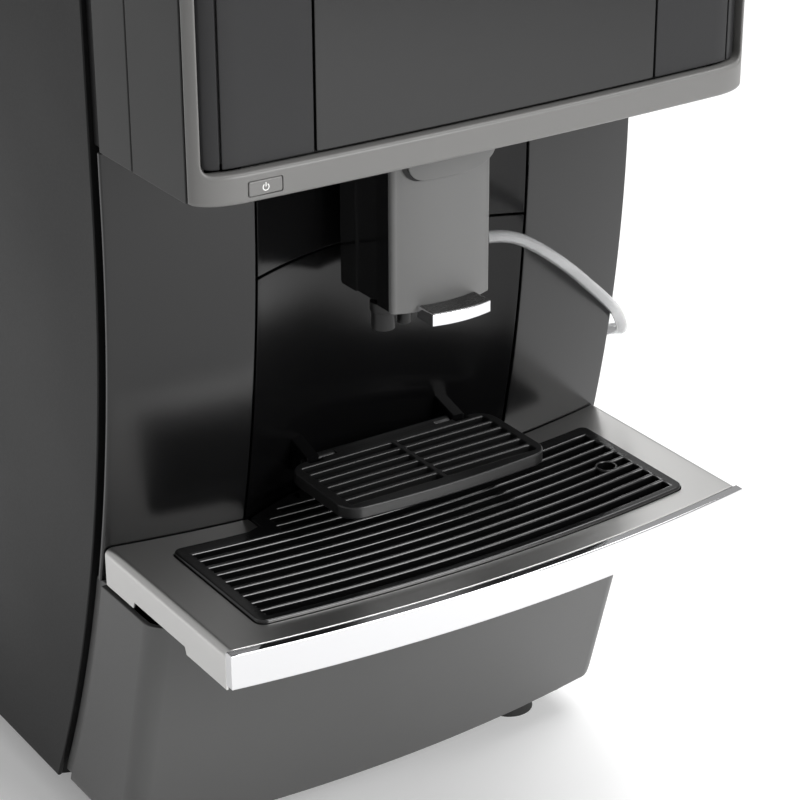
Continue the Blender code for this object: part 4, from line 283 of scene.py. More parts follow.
def smooth_route(points, samples, fineness=12):
    """Evenly spaced points of a smooth curve through the route, and its length."""
    ends = [Vector(p) for p in points]
    ends = [2 * ends[0] - ends[1]] + ends + [2 * ends[-1] - ends[-2]]
    fine = []
    for a, b, c, d in zip(ends, ends[1:], ends[2:], ends[3:]):
        for i in range(fineness):
            t = i / fineness
            squared = (2 * a - 5 * b + 4 * c - d) * t**2
            cubed = (3 * b - a - 3 * c + d) * t**3
            fine.append((2 * b + (c - a) * t + squared + cubed) / 2)
    fine.append(ends[-2])
    lengths = [0.0]
    for a, b in zip(fine, fine[1:]):
        lengths.append(lengths[-1] + (b - a).length)
    route = []
    k = 0
    for i in range(samples + 1):
        target = lengths[-1] * i / samples
        while k < len(lengths) - 2 and lengths[k + 1] < target:
            k += 1
        span = lengths[k + 1] - lengths[k]
        share = min(1.0, max(0.0, (target - lengths[k]) / span)) if span else 0.0
        route.append(fine[k].lerp(fine[k + 1], share))
    return route, lengths[-1]


silicone = grained(
    "milky_silicone", (0.74, 0.75, 0.76), (0.84, 0.84, 0.84), (0.10, 0.22), 90.0, 0.000004, clear=(0.78, 1.41)
)
gloss_black = blackened("gloss_black_plastic", 0.0032, 0.0050, (0.10, 0.18), 260.0, 0.0000012)

hose_line, hose_length = smooth_route(HOSE_ROUTE, HOSE_SAMPLES)
tube = bpy.data.curves.new("hose_line", "CURVE")
tube.dimensions = "3D"
tube.bevel_depth = HOSE_RADIUS
tube.bevel_resolution = 6
spline = tube.splines.new("POLY")
spline.points.add(len(hose_line) - 1)
for point, place in zip(spline.points, hose_line):
    point.co = (*place, 1.0)
hose = bpy.data.objects.new("hose_line", tube)
scene.collection.objects.link(hose)
alone(hose)
bpy.ops.object.convert(target="MESH")
hose = welded(bpy.context.active_object)
worked(hose, "SOLIDIFY", thickness=HOSE_WALL, offset=-1.0, use_even_offset=True)
settled(hose, "milk_hose_tube", silicone, 60)
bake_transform(hose)
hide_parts("milk_hose")


# The inlet gland on the side panel: a round glossy fitting with a bevelled rim and a waist
# that holds the hose's end.
def turned_edges(piece, width, segments=3, angle=40):
    """Rounds every hard edge of a piece."""
    return worked(
        piece, "BEVEL", width=width, segments=segments, limit_method="ANGLE",
        angle_limit=math.radians(angle), use_clamp_overlap=True,
    )


def cylinder(radius, depth, place, along="Z", vertices=48):
    """A new cylinder at its size and place, its axis along X, Y or Z."""
    turn = {"X": (0, math.pi / 2, 0), "Y": (math.pi / 2, 0, 0), "Z": (0, 0, 0)}[along]
    bpy.ops.object.select_all(action="DESELECT")
    bpy.ops.mesh.primitive_cylinder_add(
        vertices=vertices, radius=radius, depth=depth, location=place, rotation=turn
    )
    return bpy.context.active_object


def picked(piece, kind, test):
    """Enters edit mode with only the faces or edges that pass a test selected."""
    alone(piece)
    bpy.ops.object.mode_set(mode="EDIT")
    bpy.ops.mesh.select_mode(type=kind)
    bpy.ops.mesh.select_all(action="DESELECT")
    shape = bmesh.from_edit_mesh(piece.data)
    found = shape.faces if kind == "FACE" else shape.edges
    for element in found:
        if test(element):
            element.select_set(True)
    shape.select_flush_mode()
    bmesh.update_edit_mesh(piece.data)


def is_top(face):
    return face.normal.z > 0.9


def is_underside(face):
    return face.normal.z < -0.9


def stamped(piece, test, *steps):
    """Insets the faces that pass a test and pushes them, once for each step."""
    picked(piece, "FACE", test)
    for inset, push in steps:
        bpy.ops.mesh.inset(thickness=inset)
        if push:
            bpy.ops.mesh.extrude_region_move(TRANSFORM_OT_translate={"value": push})
    done()


gland = cylinder(0.0085, 0.0018, (0.1527, -0.0669, 0.2231), "X", 64)
stamped(gland, is_top, (0.0022, (-0.0006, 0, 0)), (0.0014, (0.0006, 0, 0)))
turned_edges(gland, 0.00025, 2)
fitted(gland, "milk_inlet_gland", gloss_black, "gloss_black", "housing", "milk_inlet")


# Base pan and inner sheets: cut, folded and screwed together. The inner sheets are zinc-plated
# steel with a crystal pattern, and the base pan is coated black. They show only from below, behind
# the drawer and through the openings.
def refinished(material, *names):
    """Gives CAD nodes that are shown as they are their finish."""
    for name in names:
        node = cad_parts[name]
        node.data.materials.clear()
        node.data.materials.append(material)


zinc = grained(
    "zinc_plated_sheet", (0.50, 0.50, 0.49), (0.62, 0.62, 0.62), (0.30, 0.48), 700.0, 0.000003,
    slow=14.0, stretch=(1.0, 1.0, 0.12), metallic=1.0,
)
tree = zinc.node_tree
crystals = added(tree, "TexVoronoi", {"Scale": 160.0})
level = added(tree, "MapRange", {"To Min": 0.2, "To Max": 0.8})
wired(
    tree,
    (tree.nodes["Texture Coordinate"], "Object", crystals, "Vector"),
    (crystals, "Color", level, "Value"),
    (level, "Result", tree.nodes["Mix"], 0),
)
refinished(zinc, "tray_shelf", "front_bulkhead", "middle_deck", "drawer_floor")
coated_black = blackened("black_coated_sheet", 0.0050, 0.0080, (0.38, 0.50), 900.0, 0.0000045, 0.22)
refinished(coated_black, "base_pan")


# Feet: four soft rubber buttons, tapered, with a rounded sole and a ring trodden into it.
# Each is pressed over a stud under the base pan.
FOOT_HEIGHT = 0.0177
FOOT_TAPER = 0.82
rubber = grained("black_rubber", (0.016, 0.016, 0.016), (0.026, 0.026, 0.025), (0.68, 0.88), 520.0, 0.00004)
for row, foot_y in (("front", -0.0660), ("rear", 0.1990)):
    for side, foot_x in (("left", -0.112), ("right", 0.112)):
        foot = cylinder(0.0140, FOOT_HEIGHT, (foot_x, foot_y, FOOT_HEIGHT / 2))
        picked(foot, "FACE", is_top)
        bpy.ops.transform.resize(
            value=(FOOT_TAPER, FOOT_TAPER, 1.0), center_override=(foot_x, foot_y, FOOT_HEIGHT)
        )
        done()
        stamped(foot, is_underside, (0.0045, (0, 0, 0.0010)), (0.0030, (0, 0, -0.0010)))
        turned_edges(foot, 0.0007, 3)
        fitted(foot, "rubber_foot_%s_%s" % (row, side), rubber, "rubber",
               "housing", "foot_%s_%s" % (row, side))


# Side panels: satin black coated sheet, cut along the body's falling front line, with a folded
# flange that the pillars screw to. Their edges are rounded by the coating.
CHORD_Y = -0.2126
TRAY_Z = 0.192
HEAD_Z = 0.4025
HEAD_TOP_Z = 0.556
HALF = 0.1515
SIDE_BACK = 0.1039
ARC_RADIUS = 0.790
ARC_TOP_Z = TRAY_Z + 0.1803
SHEET_INNER = 0.149
SHEET_TOP_Z = 0.5537
REAR_Y = 0.225
SHEET_FRONT = 0.0105
FLANGE_DEPTH = 0.0025
SIDES = ((-1, "left"), (1, "right"))


def sided(side, near, far):
    """The lower and upper x of a span that lies on one side of the middle."""
    return sorted((side * near, side * far))


def spread(low, high, count):
    return [low + (high - low) * i / count for i in range(count + 1)]


def arc(start, sweep, steps):
    """Angles in radians, evenly spaced from a start over a sweep in degrees."""
    return [math.radians(start + sweep * i / steps) for i in range(steps + 1)]


def swept(u, v, radius, angles):
    """Points round a centre at the given angles."""
    return [(u + radius * math.cos(a), v + radius * math.sin(a)) for a in angles]


def rounded(low_u, low_v, high_u, high_v, radius, steps=6):
    """Outline of a rectangle with round corners."""
    corners = (
        (high_u - radius, low_v + radius, -90),
        (high_u - radius, high_v - radius, 0),
        (low_u + radius, high_v - radius, 90),
        (low_u + radius, low_v + radius, 180),
    )
    points = []
    for u, v, start in corners:
        points += swept(u, v, radius, arc(start, 90, steps))
    return points


def around(u, v, half_u, half_v, radius, steps=6):
    """Outline of a rectangle with round corners about its centre."""
    return rounded(u - half_u, v - half_v, u + half_u, v + half_v, radius, steps)


def circle(u, v, radius, sides=40):
    return swept(u, v, radius, [2 * math.pi * i / sides for i in range(sides)])


def cut_plate(outlines, low, high, edge, along="Z", rounds=3):
    """A plate cut to its outlines between two levels along an axis, with all its rims rounded."""
    drawing = bpy.data.curves.new("outline", "CURVE")
    drawing.dimensions = "2D"
    drawing.fill_mode = "BOTH"
    drawing.extrude = (high - low) / 2 - edge
    drawing.bevel_depth = edge
    drawing.bevel_resolution = rounds
    drawing.offset = -edge
    for outline in outlines:
        line = drawing.splines.new("POLY")
        line.points.add(len(outline) - 1)
        for point, (u, v) in zip(line.points, outline):
            point.co = (u, v, 0, 1)
        line.use_cyclic_u = True
    plate = bpy.data.objects.new("outline", drawing)
    scene.collection.objects.link(plate)
    quarter = math.pi / 2
    middle = (low + high) / 2
    plate.rotation_euler = {"X": (quarter, 0, quarter), "Y": (quarter, 0, 0), "Z": (0, 0, 0)}[along]
    plate.location = [middle if axis == along else 0 for axis in "XYZ"]
    alone(plate)
    bpy.ops.object.convert(target="MESH")
    return welded(applied(bpy.context.active_object))


def joined(piece, *others):
    """Makes other pieces part of this one's mesh."""
    alone(piece)
    for other in others:
        other.select_set(True)
    bpy.ops.object.join()
    return piece


def edge_y(z):
    """The body's front line at its sides: upright, then an arc that falls back to the base."""
    drop = max(0.0, ARC_TOP_Z - z)
    return CHORD_Y + SIDE_BACK + ARC_RADIUS - math.sqrt(ARC_RADIUS**2 - drop**2)


def side_line(bottom, steps=40):
    """Points (y, z) down the front line, moved back to the sheet's edge."""
    return [(edge_y(z) + SHEET_FRONT, z) for z in [SHEET_TOP_Z] + spread(ARC_TOP_Z, bottom, steps)]


satin_black = blackened("satin_black_plastic", 0.0045, 0.0070, (0.36, 0.46), 1500.0, 0.0000035, 0.42)
for side, name in SIDES:
    outline = side_line(0.020) + [(REAR_Y, 0.020), (REAR_Y, SHEET_TOP_Z)]
    panel = cut_plate([outline], *sided(side, SHEET_INNER, HALF), 0.0008, "X")
    face = side_line(0.0365)
    strip = face + [(y + FLANGE_DEPTH, z) for y, z in reversed(face)]
    joined(panel, cut_plate([strip], *sided(side, 0.139, 0.150), 0.0004, "X"))
    fitted(panel, "side_sheet_" + name, coated_black, "satin_black", "housing", "side_panel_" + name)


# Rear panel: the same coated sheet, with two groups of vent slots and cut-outs for the socket
# and the main switch. It is held by screws round its edge.
REAR_HALF = 0.1487
VENT_PITCH = 0.0085
vents = [[(-REAR_HALF, 0.0183), (REAR_HALF, 0.0183), (REAR_HALF, SHEET_TOP_Z), (-REAR_HALF, SHEET_TOP_Z)]]
for i in range(7):
    for vent_x, vent_z in ((0.088, 0.228), (-0.088, 0.110)):
        vents.append(around(vent_x, vent_z + VENT_PITCH * i, 0.031, 0.002, 0.0018))
vents.append(rounded(0.0897, 0.0627, 0.1203, 0.0873, 0.002))
vents.append(rounded(0.0579, 0.0628, 0.0741, 0.0872, 0.002))
rear = cut_plate(vents, 0.2225, REAR_Y, 0.0005, "Y")
for screw_x in (-0.140, 0.140):
    for screw_z in (0.030, 0.200, 0.370, 0.540):
        head = cylinder(0.0030, 0.0006, (screw_x, 0.2246, screw_z), "Y", 32)
        stamped(head, is_underside, (0.0014, (0, -0.0004, 0)))
        joined(rear, applied(turned_edges(head, 0.00015, 2)))
fitted(rear, "rear_sheet", coated_black, "satin_black", "housing", "rear_panel")


# Mains inlet and main switch: a recessed three-pin socket and a rocker, both glossy mouldings
# that snap into the rear panel.
SOCKET_FRONT = 0.1990
shroud = [rounded(0.090, 0.063, 0.120, 0.087, 0.002), rounded(0.093, 0.066, 0.117, 0.084, 0.0025)]
inlet = cut_plate(shroud, SOCKET_FRONT, 0.2247, 0.0005, "Y")
pin_plate = rounded(0.091, 0.064, 0.119, 0.086, 0.002)
joined(inlet, cut_plate([pin_plate], SOCKET_FRONT, 0.2020, 0.0004, "Y"))
for pin_x, pin_z in ((0.098, 0.0735), (0.105, 0.0785), (0.112, 0.0735)):
    pin = around(pin_x, pin_z, 0.001, 0.002, 0.0004)
    joined(inlet, cut_plate([pin], 0.2015, 0.2170, 0.0003, "Y"))
fitted(inlet, "mains_socket", gloss_black, "gloss_black", "housing", "mains_inlet")
rocker_side = [(0.2130, 0.0695), (0.2244, 0.0640), (0.2232, 0.0750), (0.2244, 0.0860), (0.2130, 0.0805)]
rocker = cut_plate([rocker_side], 0.0585, 0.0735, 0.0006, "X")
fitted(rocker, "switch_rocker", gloss_black, "gloss_black", "main_switch", "main_switch")


# Pillars: two deep satin mouldings, bowed across and falling back towards the base, with a
# return that meets the bay's wall and a rear flange that screws to the side panel.
PILLAR_INNER = 0.0786
BOW = 0.0124
WALL = 0.0025
RETURN_DEPTH = 0.012
FLANGE_OUTER = 0.146
FLANGE_INNER = 0.1435
FLANGE_END = 0.0102
BAY_LOW_Z = 0.1708
BAY_TOP_Z = 0.4022


def pillar_y(x, z):
    """The front of the pillars: bowed between their inner edges and the body's sides."""
    return edge_y(z) - BOW * (HALF**2 - x**2) / (HALF**2 - PILLAR_INNER**2)


def skinned(section_at, levels):
    """A closed skin over an outline at each level: a grid rolled round it and filled at its ends."""
    outlines = [section_at(z) for z in levels]
    count = len(outlines[0])
    rows = len(levels) - 1
    bpy.ops.object.select_all(action="DESELECT")
    bpy.ops.mesh.primitive_grid_add(x_subdivisions=count, y_subdivisions=rows, size=1, location=(0, 0, 0))
    skin = bpy.context.active_object
    for vertex in skin.data.vertices:
        column = round((vertex.co.x + 0.5) * count) % count
        row = round((vertex.co.y + 0.5) * rows)
        x, y = outlines[row][column]
        vertex.co = (x, y, levels[row])
    return welded(skin, holes=True)


def pillar_section(side, z):
    """One closed outline: inner return, bowed face, hem and the flange behind it."""
    inner = PILLAR_INNER + 0.0003
    points = [(inner, pillar_y(inner, z) + RETURN_DEPTH)]
    points += [(x, pillar_y(x, z)) for x in spread(inner, HALF, 20)]
    points.append((HALF, edge_y(z) + WALL))
    points.append((FLANGE_OUTER, pillar_y(FLANGE_OUTER, z) + WALL))
    points.append((FLANGE_OUTER, edge_y(z) + FLANGE_END))
    points.append((FLANGE_INNER, edge_y(z) + FLANGE_END))
    points += [(x, pillar_y(x, z) + WALL) for x in spread(FLANGE_INNER, inner + WALL, 16)]
    points.append((inner + WALL, pillar_y(inner, z) + RETURN_DEPTH))
    return [(side * x, y) for x, y in points]


pillar_black = blackened("pillar_black_plastic", 0.0030, 0.0048, (0.20, 0.28), 1500.0, 0.0000022, 0.50)
pillar_levels = spread(BAY_LOW_Z, ARC_TOP_Z, 44) + spread(ARC_TOP_Z, BAY_TOP_Z, 6)[1:]
for side, name in SIDES:
    pillar = skinned(lambda z: pillar_section(side, z), pillar_levels)
    turned_edges(pillar, 0.0007, 3)
    fitted(pillar, "pillar_moulding_" + name, pillar_black, "satin_black", "housing", "pillar_" + name)


# Wall of the cup bay: two hollow glossy and satin mouldings that meet in a fine seam. The lower
# one carries the two lugs of the fold-up platform.
BAY_HOLLOW = 0.0186
BAY_CLEARANCE = 0.0010
LUG_X = 0.044
LUG_HALF = 0.0035
AXLE_Y = CHORD_Y + 0.1060
AXLE_Z = 0.2176


def bay_y(x, z):
    """The front of the bay's wall, hollow across and falling back with the pillars."""
    return pillar_y(PILLAR_INNER, z) + BAY_HOLLOW * (1 - (x / PILLAR_INNER) ** 2)


def bay_section(z):
    xs = spread(BAY_CLEARANCE - PILLAR_INNER, PILLAR_INNER - BAY_CLEARANCE, 40)
    return [(x, bay_y(x, z)) for x in xs] + [(x, bay_y(x, z) + WALL) for x in reversed(xs)]


# The bay's black is set deeper and less shiny than the pillars': painted shade for the recess under the head.
# The spout's cheeks and the painted shadow under the collar use it too.
bay_shade_black = blackened("bay_black_painted_shade", 0.0022, 0.0034, (0.18, 0.26), 1500.0, 0.0000018, 0.30)
upper = turned_edges(skinned(bay_section, spread(0.3289, BAY_TOP_Z, 12)), 0.0004, 2)
fitted(upper, "bay_wall_upper", bay_shade_black, "satin_black", "housing", "bay_upper_panel")
lower = turned_edges(skinned(bay_section, spread(BAY_LOW_Z, 0.3277, 30)), 0.0004, 2)
lug_back = bay_y(LUG_X, AXLE_Z) + WALL / 2
arm = [
    (AXLE_Y - 0.0045, AXLE_Z - 0.0045), (AXLE_Y - 0.0045, AXLE_Z + 0.0045),
    (lug_back, AXLE_Z + 0.010), (lug_back, AXLE_Z - 0.010),
]
for side in (-1, 1):
    middle = side * LUG_X
    eye = circle(AXLE_Y, AXLE_Z, 0.0020, 24)
    joined(lower, cut_plate([arm, eye], middle - LUG_HALF, middle + LUG_HALF, 0.0008, "X"))
fitted(lower, "bay_wall_lower", bay_shade_black, "gloss_black", "housing", "bay_lower_panel")


# Head frame: the front bezel, one painted moulding that wraps round both corners, with a wide
# opening for the display and a small one for the power button.
CORNER_X = 0.024
CORNER_Y = 0.0126
BEZEL_BACK = CHORD_Y + 0.0235
BEZEL_DEPTH = 0.008
BEZEL_ROUND = 0.0020
WINDOW_HALF = 0.1475
WINDOW_INSET = 0.0140
BUTTON_X = -0.1204


def head_y(x):
    return CHORD_Y + 0.0073 + 0.0036 * (x / HALF) ** 2


def head_plan(inset, steps, corner_steps, start=0.0):
    """Plan points along the head's front and round its corners, moved in by an inset."""
    centre_x = HALF - CORNER_X
    centre_y = head_y(centre_x) + CORNER_Y
    corner = []
    for angle in arc(start, 90 - start, corner_steps):
        x = centre_x + (CORNER_X - inset) * math.cos(angle)
        corner.append((x, centre_y - (CORNER_Y - inset) * math.sin(angle)))
    middle = [(x, head_y(x) + inset) for x in spread(-centre_x, centre_x, steps)[1:-1]]
    return [(-x, y) for x, y in corner] + middle + corner[::-1]


def lengths_along(line):
    """How far along a plan line each of its points lies."""
    lengths = [0.0]
    for (ax, ay), (bx, by) in zip(line, line[1:]):
        lengths.append(lengths[-1] + math.hypot(bx - ax, by - ay))
    return lengths


def between(a, b, share):
    return [p + (q - p) * share for p, q in zip(a, b)]


def spot(lengths, u):
    """The stretch of a plan line that holds a length, and how far along it that lies."""
    k = 0
    while k < len(lengths) - 2 and lengths[k + 1] < u:
        k += 1
    return k, (u - lengths[k]) / (lengths[k + 1] - lengths[k])


def ruled(piece, axis, stations):
    """Cuts a plate across at each station, so that it can bend there."""
    alone(piece)
    bpy.ops.object.mode_set(mode="EDIT")
    normal = [1.0 if i == axis else 0.0 for i in range(3)]
    for station in stations:
        bpy.ops.mesh.select_all(action="SELECT")
        bpy.ops.mesh.bisect(plane_co=[station * n for n in normal], plane_no=normal)
    done()
    return piece


def bent(piece, line):
    """Lays a flat plate, upright on y = 0 with its front at lower y, along a plan line."""
    lengths = lengths_along(line)
    normals = []
    for i in range(len(line)):
        (ax, ay), (bx, by) = line[max(0, i - 1)], line[min(len(line) - 1, i + 1)]
        span = math.hypot(bx - ax, by - ay)
        normals.append((-(by - ay) / span, (bx - ax) / span))
    for vertex in piece.data.vertices:
        k, share = spot(lengths, min(lengths[-1], max(0.0, vertex.co.x)))
        x, y = between(line[k], line[k + 1], share)
        nx, ny = between(normals[k], normals[k + 1], share)
        vertex.co = (x + nx * vertex.co.y, y + ny * vertex.co.y, vertex.co.z)
    return piece


def along_line(line, x):
    """How far along the line its point at x is."""
    length = 0.0
    for (ax, ay), (bx, by) in zip(line, line[1:]):
        step = math.hypot(bx - ax, by - ay)
        if ax <= x <= bx and bx > ax:
            return length + step * (x - ax) / (bx - ax)
        length += step
    return length


anthracite = grained(
    "anthracite_paint", (0.150, 0.148, 0.144), (0.172, 0.170, 0.165), (0.32, 0.42), 2200.0, 0.000004
)
head_line = [(-HALF, BEZEL_BACK)] + head_plan(0.0, 48, 24) + [(HALF, BEZEL_BACK)]
stations = lengths_along(head_line)
window = [along_line(head_line, x) for x in (-WINDOW_HALF, WINDOW_HALF)]
bezel_outlines = [
    [(0, HEAD_Z), (stations[-1], HEAD_Z), (stations[-1], HEAD_TOP_Z), (0, HEAD_TOP_Z)],
    rounded(window[0], HEAD_Z + WINDOW_INSET, window[1], HEAD_TOP_Z - WINDOW_INSET, 0.0050, 8),
]
bezel = cut_plate(bezel_outlines, 0.0, BEZEL_DEPTH, BEZEL_ROUND, "Y", 5)
ruled(bezel, 0, stations[1:-1])
ruled(bezel, 2, (HEAD_Z + 0.006, HEAD_Z + 0.012, HEAD_TOP_Z - 0.012, HEAD_TOP_Z - 0.006))
flat = [tuple(vertex.co) for vertex in bezel.data.vertices]
bent(bezel, head_line)
# The opening's end walls run straight back, as they draw out of the mould.
for vertex, (u, depth, z) in zip(bezel.data.vertices, flat):
    at_left = window[0] - 0.002 < u < window[0] + 0.0055
    at_right = window[1] - 0.0055 < u < window[1] + 0.002
    if HEAD_Z + 0.0128 < z < HEAD_TOP_Z - 0.0128 and (at_left or at_right):
        k, share = spot(stations, u)
        x, y = between(head_line[k], head_line[k + 1], share)
        vertex.co = (x, y + depth, z)
hole = rounded(-0.1290, HEAD_Z + 0.0027, -0.1118, HEAD_Z + 0.0099, 0.0011)
punch = cut_plate([hole], CHORD_Y - 0.010, CHORD_Y + 0.030, 0.0001, "Y", 0)
worked(bezel, "BOOLEAN", operation="DIFFERENCE", object=punch, solver="EXACT")
bpy.data.objects.remove(punch)
fitted(bezel, "head_bezel", anthracite, "anthracite", "housing", "head_frame", smooth=40)


# Power button: a short painted bar that snaps into its hole in the bezel, with the usual sign
# for power printed on it in white.
SIGN_Z = HEAD_Z + 0.0062
button_face = head_y(BUTTON_X) - 0.0003
bar_outline = rounded(-0.1287, HEAD_Z + 0.0030, -0.1121, HEAD_Z + 0.0096, 0.0009)
button = cut_plate([bar_outline], button_face, button_face + 0.006, 0.0005, "Y")
fitted(button, "power_bar", anthracite, "anthracite", "power_button", "power_button")
ring_points = []
for radius, turn in ((0.0017, 1), (0.0012, -1)):
    ring_points += swept(BUTTON_X, SIGN_Z, radius, arc(125, 290, 32))[::turn]
stroke = rounded(BUTTON_X - 0.00024, SIGN_Z + 0.0002, BUTTON_X + 0.00024, SIGN_Z + 0.0021, 0.0001)
printed, stroke_print = [
    cut_plate([shape], button_face - 0.00008, button_face + 0.0002, 0.00002, "Y", 0)
    for shape in (ring_points, stroke)
]
joined(printed, stroke_print)
white_print = grained("white_print", (0.80, 0.80, 0.78), (0.86, 0.86, 0.84), (0.35, 0.5), 900.0, 0.000002)
fitted(printed, "power_sign", white_print, "anthracite", "power_button")


# Display and its side panels: a dark glass between two satin inserts, all set back in the
# bezel and following its bow. A black carrier holds them from behind.
INSERT_BACK = 0.0048
INSERT_THICK = 0.0028
INSERT_LOW = HEAD_Z + 0.0152
INSERT_HIGH = HEAD_TOP_Z - 0.0152
INSERT_X = (0.0922, 0.0934, 0.1378, 0.1388, 0.1463)
dark_insert = grained(
    "dark_insert_plastic", (0.018, 0.018, 0.019), (0.025, 0.025, 0.026), (0.26, 0.36), 1500.0, 0.0000016,
    specular=0.28,
)
insert_line = head_plan(INSERT_BACK, 48, 16, 11.5)
insert_stations = lengths_along(insert_line)


def insert_plate(low, high, low_radius, high_radius):
    """A flat insert with its own corner radius at either end."""
    outline = []
    for u, z, radius, turn in (
        (high - high_radius, INSERT_LOW + high_radius, high_radius, -90),
        (high - high_radius, INSERT_HIGH - high_radius, high_radius, 0),
        (low + low_radius, INSERT_HIGH - low_radius, low_radius, 90),
        (low + low_radius, INSERT_LOW + low_radius, low_radius, 180),
    ):
        outline += swept(u, z, radius, arc(turn, 90, 6))
    return cut_plate([outline], 0.0, INSERT_THICK, 0.0004, "Y")


glass_x, main_x, groove_x, strip_x, end_x = INSERT_X
for name, cuts, corners, material, slot in (
    ("inset_panel_left", (-end_x, -strip_x, -groove_x, -main_x), (0.0044, 0.0004, 0.0004, 0.0007),
     dark_insert, "dark_grey"),
    ("display_glass", (-glass_x, glass_x), (0.0007, 0.0007), gloss_black, "gloss_black"),
    ("inset_panel_right", (main_x, groove_x, strip_x, end_x), (0.0007, 0.0004, 0.0004, 0.0044),
     dark_insert, "dark_grey"),
):
    marks = [along_line(insert_line, x) for x in cuts]
    insert = insert_plate(*marks[:2], *corners[:2])
    if len(marks) > 2:
        joined(insert, insert_plate(*marks[2:], *corners[2:]))
        backing = rounded(marks[0] + 0.004, INSERT_LOW + 0.002, marks[3] - 0.004, INSERT_HIGH - 0.002, 0.0015)
        joined(insert, cut_plate([backing], 0.0020, INSERT_THICK, 0.0002, "Y"))
    ruled(insert, 0, [s for s in insert_stations if marks[0] + 0.0002 < s < marks[-1] - 0.0002])
    bent(insert, insert_line)
    fitted(insert, name.replace("panel", "cover") + "_front", material, slot, "housing", name, smooth=40)
refinished(satin_black, "display_carrier", "head_underside")
board = grained("circuit_board", (0.010, 0.085, 0.035), (0.016, 0.120, 0.050), (0.30, 0.45), 900.0, 0.000006)
tree = board.node_tree
tracks = added(tree, "TexBrick", {
    "Scale": 90.0, "Mortar Size": 0.03, "Color1": (0.012, 0.10, 0.04, 1.0),
    "Color2": (0.008, 0.07, 0.03, 1.0), "Mortar": (0.35, 0.24, 0.10, 1.0),
})
upright = added(tree, "Mapping", {"Rotation": (math.pi / 2, 0, 0)})
wired(
    tree,
    (tree.nodes["Texture Coordinate"], "Object", upright, "Vector"),
    (upright, "Vector", tracks, "Vector"),
    (tracks, "Color", tree.nodes["Principled BSDF"], "Base Color"),
)
refinished(board, "control_board")


# Side covers of the head: painted slabs with a fine upright seam where they split for service.
# They clip to the frame, and a strip of coated sheet closes the gap behind each.
COVER_FRONT = CHORD_Y + 0.0238
SEAM_Y = CHORD_Y + 0.072
SEAM_GAP = 0.0008
# The side covers carry the bezel's anthracite paint darkened almost to black: painted shade for the sides of
# the head.
head_side_shaded_paint = grained(
    "side_cover_painted_shade", (0.018, 0.018, 0.018), (0.024, 0.024, 0.024), (0.34, 0.46), 2000.0, 0.000004,
    specular=0.30,
)
for side, name in SIDES:
    halves = [
        rounded(COVER_FRONT, HEAD_Z, SEAM_Y, SHEET_TOP_Z, 0.0006, 2),
        rounded(SEAM_Y + SEAM_GAP, HEAD_Z, CHORD_Y + SIDE_BACK, SHEET_TOP_Z, 0.0006, 2),
    ]
    cover = cut_plate(halves, *sided(side, SHEET_INNER, HALF), 0.0006, "X")
    backing = rounded(CHORD_Y + 0.030, HEAD_Z + 0.003, CHORD_Y + 0.098, 0.5500, 0.0006, 2)
    joined(cover, cut_plate([backing], *sided(side, SHEET_INNER, 0.1507), 0.0002, "X"))
    fitted(cover, "head_side_" + name, head_side_shaded_paint, "anthracite", "housing", "head_cover_" + name)
    strip = rounded(CHORD_Y + 0.092, HEAD_Z + 0.0005, CHORD_Y + 0.1141, 0.5534, 0.0006, 2)
    gap_strip = cut_plate([strip], *sided(side, 0.1472, 0.1488), 0.0004, "X")
    fitted(gap_strip, "head_gap_strip_" + name, coated_black, "satin_black", "housing")


# Spout unit: a finely textured grey cover on a black carriage, with a chromed finger lip. It
# slides up behind the collar that hangs from the head.
SPOUT_HALF = 0.028
SPOUT_CORNER = 0.0025
SPOUT_WALL = 0.0018
SHELL_BACK = CHORD_Y + 0.0562
SHELL_LOW_Z = 0.3118
SHELL_TOP_Z = 0.4220
COLLAR_HALF = 0.0286
COLLAR_TOP_Z = 0.4032
COLLAR_CORNER = 0.007
LIP_HALF = 0.0165


def cover_y(x):
    return CHORD_Y + 0.0473 + 0.0062 * (x / SPOUT_HALF) ** 2


def cover_plan(half, inset):
    """A bowed front with small round corners and straight sides."""
    edge = half - SPOUT_CORNER
    right = []
    for angle in arc(0, 90, 8)[1:]:
        y = cover_y(edge) + inset + SPOUT_CORNER * (1 - math.cos(angle))
        right.append((edge + SPOUT_CORNER * math.sin(angle), y))
    right.append((half, SHELL_BACK))
    front = [(x, cover_y(x) + inset) for x in spread(-edge, edge, 32)]
    return [(-x, y) for x, y in reversed(right)] + front + right


textured_grey = grained(
    "textured_grey_plastic", (0.122, 0.122, 0.120), (0.146, 0.146, 0.144), (0.40, 0.54), 1300.0, 0.000026
)
shell_plan = cover_plan(SPOUT_HALF, 0) + cover_plan(SPOUT_HALF - SPOUT_WALL, SPOUT_WALL)[::-1]
spout_front = cut_plate([shell_plan], SHELL_LOW_Z, SHELL_TOP_Z, 0.0005)
fitted(spout_front, "spout_cover_shell", textured_grey, "dark_grey", "spout", "spout_cover", smooth=50)
for side, name in SIDES:
    cheek_outline = rounded(CHORD_Y + 0.0555, 0.3122, CHORD_Y + 0.0670, 0.4216, 0.0012, 3)
    cheek = cut_plate([cheek_outline], *sided(side, 0.0263, 0.0279), 0.0004, "X")
    fitted(cheek, "spout_cheek_" + name, bay_shade_black, "satin_black", "spout")

collar_line = [(x, cover_y(x) - 0.0006) for x in spread(-COLLAR_HALF, COLLAR_HALF, 48)]
collar_stations = lengths_along(collar_line)


def tongue(left, radius, bottom, low, high, edge):
    """A plate bent along the collar's line, with a large round corner at its left foot."""
    right = collar_stations[-1]
    outline = [(left, COLLAR_TOP_Z)]
    for angle in arc(0, 90, 12):
        outline.append((left + radius * (1 - math.cos(angle)), bottom + radius * (1 - math.sin(angle))))
    for angle in arc(0, 90, 12):
        u = right - 3 * COLLAR_CORNER * (1 - math.sin(angle))
        outline.append((u, bottom + COLLAR_CORNER * (1 - math.cos(angle))))
    plate = cut_plate([outline + [(right, COLLAR_TOP_Z)]], low, high, edge, "Y")
    return bent(ruled(plate, 0, collar_stations[1:-1]), collar_line)


